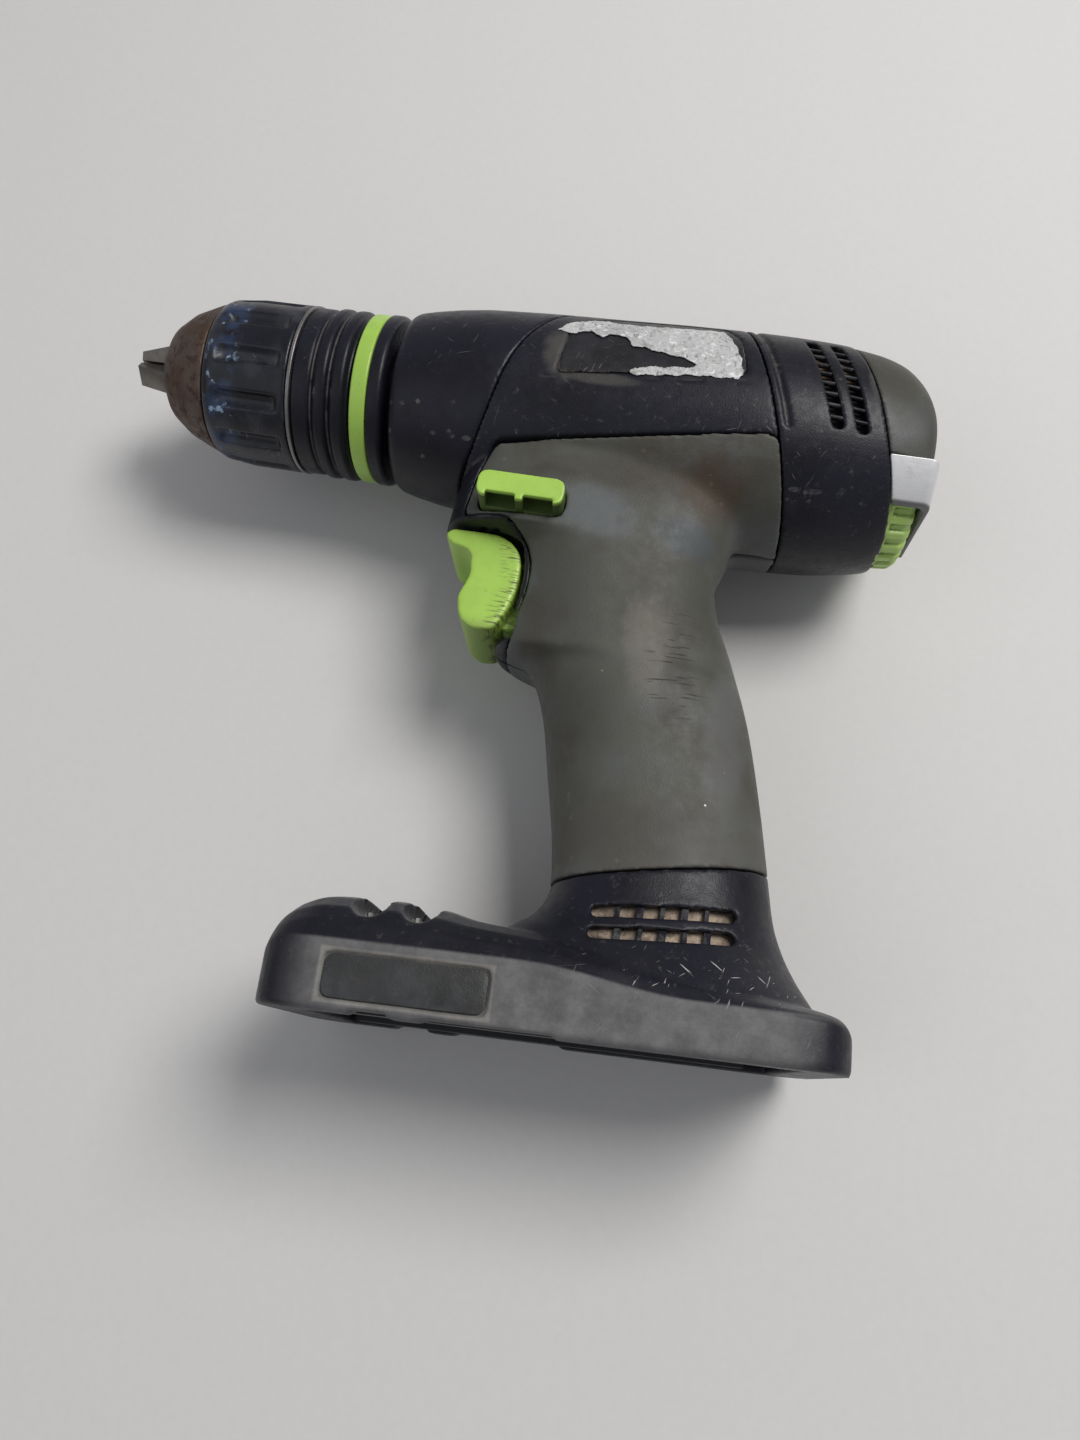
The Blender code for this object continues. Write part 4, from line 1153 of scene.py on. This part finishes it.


# Stains on the soft grip, and in the first row a painted bluish sheen: x, z, width, height, lean,
# strength and colour
STAINS_AND_SHEEN = (
    # painted bluish sheen on the head's lower side, not a stain
    (80, -34, 15, 9, 0.3, 0.75, (0.112, 0.122, 0.128)),
    (103, -37, 10, 6, 0.0, 0.6, (0.062, 0.074, 0.088)),
    (88, -24, 26, 5, 0.0, 0.55, (0.040, 0.033, 0.022)),
    (108, -24, 9, 9, 0.0, 0.7, (0.050, 0.030, 0.016)),
    (99, -66, 7, 15, 0.2, 0.6, (0.150, 0.135, 0.115)),
    (107, -74, 5, 16, 0.2, 0.6, (0.040, 0.034, 0.027)),
    (80, -60, 8, 12, 0.0, 0.4, (0.050, 0.052, 0.050)),
    (119, -84, 6, 24, 0.3, 0.6, (0.105, 0.105, 0.108)),
    (112, -106, 14, 9, 0.0, 0.5, (0.040, 0.038, 0.030)),
    (70, -27, 9, 4, 0.0, 0.5, (0.044, 0.038, 0.028)),
)


def grip_rubber(name, base, stains):
    skin = Skin(name, base, 0.58, 0.12)
    skin.blotches(42.0, 0.46, 0.66, stains, (0.046, 0.036, 0.025), 0.66)
    # painted bluish-grey sheen in broad soft patches
    skin.blotches(24.0, 0.46, 0.64, 0.6, (0.098, 0.110, 0.116), 0.42, 3.0)
    rear = skin.x.band(0.086, 0.121, 0.008) * skin.z.step(-0.034, -0.020)
    patch = skin.noise(75.0, 6.0, 0.65).step(0.38, 0.6)
    skin.layer(rear * patch * 0.6, (0.046, 0.032, 0.019), 0.62)
    for *place, strength, colour in STAINS_AND_SHEEN:
        skin.layer(near(skin, *place) * strength, colour)
    skin.layer(skin.z.step(-0.085, -0.118) * 0.4, (0.085, 0.076, 0.066), 0.62)
    skin.blotches(140.0, 0.55, 0.75, 0.3, (0.038, 0.032, 0.025), 0.6)
    skin.cavities((0.03, 0.026, 0.02), 0.8)
    skin.edges((0.17, 0.165, 0.15), 0.35)
    skin.scratches((0.15, 0.145, 0.13), 0.35, 0.35)
    # dark level creases where a palm has rubbed
    lines = skin.noise(1.0, 2.0, 0.5, (130, 90, 1900), (0, 0.12, 0)).step(0.62, 0.68)
    rubbed = near(skin, 106, -70, 9, 17, 0.2)
    skin.layer(lines * rubbed * 0.8, (0.016, 0.014, 0.012), 0.7, -0.00004)
    skin.scratches((0.022, 0.02, 0.018), 0.4, 0.3, None, -0.00004)
    skin.specks((0.75, 0.72, 0.66), 110.0, 0.04, 0.3)
    skin.specks((0.42, 0.26, 0.12), 300.0, 0.07, 0.06)
    skin.grain(3200.0, 0.00007)
    return skin.done(specular=0.4)


def green_plastic(name, base, grime, marks=None):
    skin = Skin(name, base, 0.36, 0.08)
    skin.blotches(110.0, 0.5, 0.75, 0.3, shaded(base, 0.72), 0.5)
    skin.cavities((0.05, 0.055, 0.02), 0.9)
    skin.edges(shaded(base, 1.25), 0.5)
    skin.blotches(420.0, 0.6, 0.75, grime, (0.12, 0.13, 0.05), 0.7)
    if marks:
        marks(skin)
    skin.scratches((0.10, 0.12, 0.04), 0.4, 0.35)
    skin.grain(2400.0, 0.00003)
    return skin.done(specular=0.5)


def button_pockets(skin):
    """Dark olive grime and painted shade inside the two pockets."""
    inside = skin.y.step(-0.0241, -0.0233) * skin.z.step(-0.0329, -0.0336)
    skin.layer(inside * 0.88, (0.022, 0.035, 0.010), 0.7)


def trigger_lines(skin):
    """Fine dirty lines across the trigger's cheeks close to its rear edge, and a grimy foot."""
    lines = skin.noise(1.0, 3.0, 0.6, (260, 200, 2300)).step(0.5, 0.62)
    rear_edge = abs(skin.z + 0.0515).step(0.0, 0.013, 0.0655, 0.0625)
    close = (rear_edge - skin.x).step(0.0050, 0.0005)
    skin.layer(lines * close * 0.85, (0.07, 0.055, 0.02), 0.7)
    skin.layer(skin.z.step(-0.0610, -0.0655) * 0.55, (0.14, 0.19, 0.05), 0.6)


def sleeve_plastic():
    skin = Skin("sleeve_plastic_scuffed_and_highlit", (0.008, 0.0085, 0.014), 0.30)
    skin.blotches(90.0, 0.44, 0.66, 0.6, (0.040, 0.042, 0.052), 0.40)
    # blue worn spots round the front, and painted bright bluish highlights among them
    front = skin.x.band(-0.0215, -0.0145, 0.0018)
    spot = skin.noise(170.0, 5.0, 0.6).step(0.46, 0.62)
    skin.layer(front * spot * 0.55, (0.025, 0.050, 0.120), 0.3)
    glint = skin.noise(260.0, 6.0, 0.7).step(0.58, 0.66)
    skin.layer(front * glint * 0.8, (0.30, 0.42, 0.58), 0.35)
    skin.cavities((0.10, 0.09, 0.075), 0.7)
    # wear on the edges, made strong so that it also paints the ridges' highlights
    skin.edges((0.26, 0.27, 0.28), 0.9)
    skin.scratches((0.22, 0.22, 0.23), 0.5, 0.5)
    skin.specks((0.5, 0.48, 0.45), 260.0, 0.05, 0.12)
    skin.grain(2600.0, 0.00004)
    return skin.done(specular=0.36)


def rusty_steel():
    skin = Skin("rusty_steel", (0.105, 0.075, 0.060), 0.48)
    rings = skin.noise(1.0, 3.0, 0.6, (900, 12, 12)).step(0.5, 0.7, 0.0, 0.6)
    skin.layer(rings, (0.035, 0.022, 0.018), 0.7, -0.00005)
    skin.blotches(150.0, 0.42, 0.66, 0.7, (0.085, 0.042, 0.027), 0.75)
    skin.blotches(420.0, 0.5, 0.66, 0.8, (0.055, 0.030, 0.022), 0.85)
    skin.blotches(900.0, 0.58, 0.72, 0.4, (0.17, 0.095, 0.055), 0.8)
    skin.edges((0.42, 0.38, 0.34), 0.7, 0.35)
    skin.scratches((0.34, 0.31, 0.28), 0.5, 0.5)
    skin.grain(1500.0, 0.00012)
    return skin.done(metallic=0.55)


def bare_steel(name, base, rough, rust=0.3):
    skin = Skin(name, base, rough)
    skin.blotches(240.0, 0.5, 0.72, rust, (0.16, 0.10, 0.06), 0.7)
    skin.blotches(900.0, 0.55, 0.72, 0.4, shaded(base, 0.5), 0.5)
    skin.scratches(shaded(base, 1.6), 0.4, 0.6)
    skin.cavities((0.05, 0.04, 0.03), 0.7)
    skin.grain(1800.0, 0.00005)
    return skin.done(metallic=0.9)


def satin_silver():
    skin = Skin("satin_silver", (0.66, 0.66, 0.67), 0.38, 0.04)
    brushed = skin.noise(1.0, 3.0, 0.6, (150, 150, 4200))
    skin.raise_by(brushed * 0.00003)
    skin.layer(brushed.step(0.4, 0.75, 0.0, 0.3), (0.78, 0.78, 0.79), 0.34)
    skin.blotches(300.0, 0.55, 0.75, 0.3, (0.22, 0.21, 0.20), 0.6)
    # painted shade, dark grey, along the underside of the silver band
    skin.layer(skin.z.step(-0.0194, -0.0200) * 0.9, (0.10, 0.10, 0.10), 0.5)
    skin.cavities((0.08, 0.075, 0.07), 0.8)
    skin.edges((0.85, 0.85, 0.86), 0.7, 0.2)
    skin.scratches((0.25, 0.25, 0.25), 0.4, 0.3)
    return skin.done(metallic=0.3)


def torn_paper():
    skin = Skin("torn_paper", (0.46, 0.46, 0.46), 0.38, 0.12)
    crumple = skin.noise(520.0, 5.0, 0.7, (1, 1, 1), (0, 0, 0), 1.5)
    skin.layer(crumple.step(0.47, 0.33), (0.17, 0.17, 0.18), 0.5)
    skin.layer(crumple.step(0.54, 0.66), (0.78, 0.78, 0.78), 0.3)
    skin.raise_by(crumple * 0.0003)
    skin.blotches(210.0, 0.55, 0.7, 0.6, (0.20, 0.17, 0.14), 0.7)
    skin.scratches((0.12, 0.11, 0.10), 0.7, 0.6)
    return skin.done(specular=0.5)


def vent_dust(name, dusty, dark, low, high):
    """Felted dust that gives way, between two heights, to a dark colour painted as the shade of a
    hollow.
    """
    skin = Skin(name, dusty, 0.9, 0.3)
    skin.blotches(240.0, 0.42, 0.58, 0.85, shaded(dusty, 0.4), 0.9)
    level = skin.z + skin.noise(180.0, 4.0) * 0.009
    # painted shade of the hollow, below the lower height
    skin.layer(level.step(high, low), dark, 0.8)
    skin.grain(900.0, 0.0006)
    return skin.done(specular=0.2)


def panel_plastic(name, base, scratched):
    skin = Skin(name, base, 0.42)
    skin.blotches(90.0, 0.46, 0.7, 0.5, shaded(base, 2.4), 0.55)
    skin.blotches(520.0, 0.58, 0.76, 0.25, (0.10, 0.085, 0.07), 0.8)
    skin.cavities(DUST, 0.6)
    skin.edges((0.22, 0.19, 0.16), 0.7, 0.8)
    if scratched:
        skin.scratches((0.24, 0.22, 0.20), 0.5, 0.6)
    skin.grain(2200.0, 0.00006)
    return skin.done(specular=0.4)


def internal(name, base, rough, metallic=0.0):
    skin = Skin(name, base, rough, 0.15)
    skin.blotches(200.0, 0.5, 0.75, 0.4, shaded(base, 0.6), rough)
    skin.scratches(shaded(base, 1.4), 0.3, 0.5)
    skin.grain(2000.0, 0.00004)
    return skin.done(metallic=metallic)


STEEL_NODES = (
    "bit_clip", "front_bearing", "ring_gear", "motor_can", "spindle", "planet", "motor_shaft",
)


def dress_internals():
    """The CAD nodes that stay as they are keep their own shapes and get detailed finishes."""
    black = internal("inner_black_plastic", (0.02, 0.021, 0.026), 0.5)
    looks = {
        STEEL_NODES: internal("inner_steel", (0.45, 0.44, 0.42), 0.32, 1.0),
        ("armature",): internal("inner_copper", (0.55, 0.27, 0.14), 0.4, 0.9),
        ("control_board",): internal("inner_board", (0.03, 0.16, 0.08), 0.5),
    }
    for name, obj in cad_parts.items():
        chosen = next((look for starts, look in looks.items() if name.startswith(starts)), black)
        for slot in obj.material_slots:
            slot.material = chosen


# ---------------------------------------------------------------- stage, light and camera


def one_sided(name, colour):
    """A pale matt surface that is only there when seen from its front."""
    made = bpy.data.materials.new(name)
    made.use_nodes = True
    tree = made.node_tree
    shader = tree.nodes["Principled BSDF"]
    coord = add(tree, "ShaderNodeTexCoord").outputs["Object"]
    soft = noise(tree, coord, 500.0, 3.0)
    shade = mixed(tree, soft, tuple(c * 0.97 for c in colour), tuple(c * 1.03 for c in colour))
    tree.links.new(shade, shader.inputs["Base Color"])
    shader.inputs["Roughness"].default_value = 0.9
    shader.inputs["Specular IOR Level"].default_value = 0.2
    back = add(tree, "ShaderNodeNewGeometry").outputs["Backfacing"]
    clear = add(tree, "ShaderNodeBsdfTransparent").outputs[0]
    mix = add(tree, "ShaderNodeMixShader", {0: back, 1: shader.outputs[0], 2: clear})
    tree.links.new(mix.outputs[0], tree.nodes["Material Output"].inputs[0])
    return made


def sheet(name, corners, look):
    mesh = bpy.data.meshes.new(name)
    mesh.from_pydata(corners, [], [(0, 1, 2, 3)])
    made = bpy.data.objects.new(name, mesh)
    bpy.context.collection.objects.link(made)
    mesh.materials.append(look)
    return made


def build_stage():
    pale = one_sided("pale_floor", (0.62, 0.61, 0.60))
    y = 0.0335
    corners = ((-1, -1), (1, -1), (1, 1), (-1, 1))
    wall = sheet("pale_rest", [(1.2 * a, y, 1.2 * b) for a, b in corners], pale)
    wall.visible_shadow = False
    floor = sheet("pale_floor", [(3 * a, 3 * b, 0) for a, b in corners], pale)
    floor.visible_shadow = False
    floor.visible_diffuse = False
    floor.visible_glossy = False
    floor.visible_transmission = False


RIGHT = Vector((0.9918834, 0.0415896, 0.1201563))
DOWN = Vector((0.1006891, 0.3201569, -0.9419986))
FORWARD = Vector((-0.0776462, 0.9464512, 0.3133707))
MIDDLE = Vector((0.0, 0.0, 0.09))


def lamp(name, right, up, back, size, power, colour=(1, 1, 1)):
    """A soft square lamp, placed as seen from the camera, aimed at the tool."""
    data = bpy.data.lights.new(name, "AREA")
    data.shape = "SQUARE"
    data.size = size
    data.energy = power
    data.color = colour
    made = bpy.data.objects.new(name, data)
    bpy.context.collection.objects.link(made)
    made.location = MIDDLE + RIGHT * right - DOWN * up - FORWARD * back
    made.rotation_euler = (MIDDLE - made.location).to_track_quat("-Z", "Y").to_euler()


def build_light():
    lamp("key", 0.5, 0.6, 0.85, 0.5, 11.0, (1.0, 0.985, 0.96))
    lamp("fill", -0.8, 0.0, 0.8, 0.9, 1.5, (0.92, 0.95, 1.0))
    lamp("rim", 0.3, 0.5, -0.9, 0.7, 4.0)
    world = bpy.data.worlds.new("studio")
    bpy.context.scene.world = world
    world.use_nodes = True
    background = world.node_tree.nodes["Background"]
    background.inputs[0].default_value = (0.93, 0.95, 1.0, 1.0)
    background.inputs[1].default_value = 0.3
    bpy.context.scene.view_settings.view_transform = "Standard"


def build_camera():
    data = bpy.data.cameras.new("camera")
    data.lens = 27.0
    data.sensor_width = 36.0
    data.clip_start = 0.01
    made = bpy.data.objects.new("camera", data)
    bpy.context.collection.objects.link(made)
    turn = Matrix((RIGHT, -DOWN, -FORWARD)).transposed().to_4x4()
    made.matrix_world = Matrix.Translation((0.035766, -0.242859, -0.007342)) @ turn
    bpy.context.scene.camera = made


def build():
    build_camera()
    build_light()
    build_stage()
    dress_internals()
    housing = black_housing()
    plain_black = nose_plastic("nose_plastic_worn")
    panel = panel_plastic("panel_plastic_worn", (0.009, 0.009, 0.012), True)
    foot_panel = panel_plastic("foot_panel_plastic_worn", (0.026, 0.027, 0.028), False)
    green = green_plastic("green_plastic_worn", (0.33, 0.53, 0.085), 0.4)
    build_housing(housing)
    build_grips(grip_rubber("grip_rubber_worn_and_sheen", (0.066, 0.067, 0.056), 0.55))
    build_nose(plain_black)
    # painted shade, near black, for the hollow behind the rear vents
    dark = (0.006, 0.006, 0.006)
    screen_dust_and_shade = vent_dust("rear_vent_dust_and_shade", (0.20, 0.135, 0.085), dark, 0.006, 0.011)
    cap_rubber = grip_rubber("cap_rubber_worn_and_sheen", (0.046, 0.045, 0.036), 0.4)
    build_rear(housing, cap_rubber, screen_dust_and_shade)
    build_bezel(satin_silver())
    build_plates(panel, foot_panel, torn_paper())
    pale_dust = vent_dust("handle_vent_dust", (0.34, 0.27, 0.21), (0.2, 0.16, 0.12), -0.9, -0.8)
    build_handle_vents(plain_black, pale_dust)
    build_screws(bare_steel("screw_steel", (0.35, 0.34, 0.33), 0.35))
    edge_ring = bare_steel("ring_steel", (0.26, 0.25, 0.25), 0.4)
    build_chuck(nose_plastic("collar_plastic_worn"), sleeve_plastic(), green, edge_ring)
    build_nose_cone(rusty_steel(), bare_steel("jaw_steel", (0.17, 0.155, 0.14), 0.36, 0.6))
    build_dial(green_plastic("dial_plastic_worn", (0.40, 0.58, 0.15), 0.5))
    build_trigger(green_plastic("trigger_plastic_worn", (0.34, 0.54, 0.085), 0.3, trigger_lines))
    build_button(green_plastic("button_plastic_worn_and_shaded", (0.34, 0.54, 0.085), 0.35, button_pockets))
    build_selector(plain_black)


build()
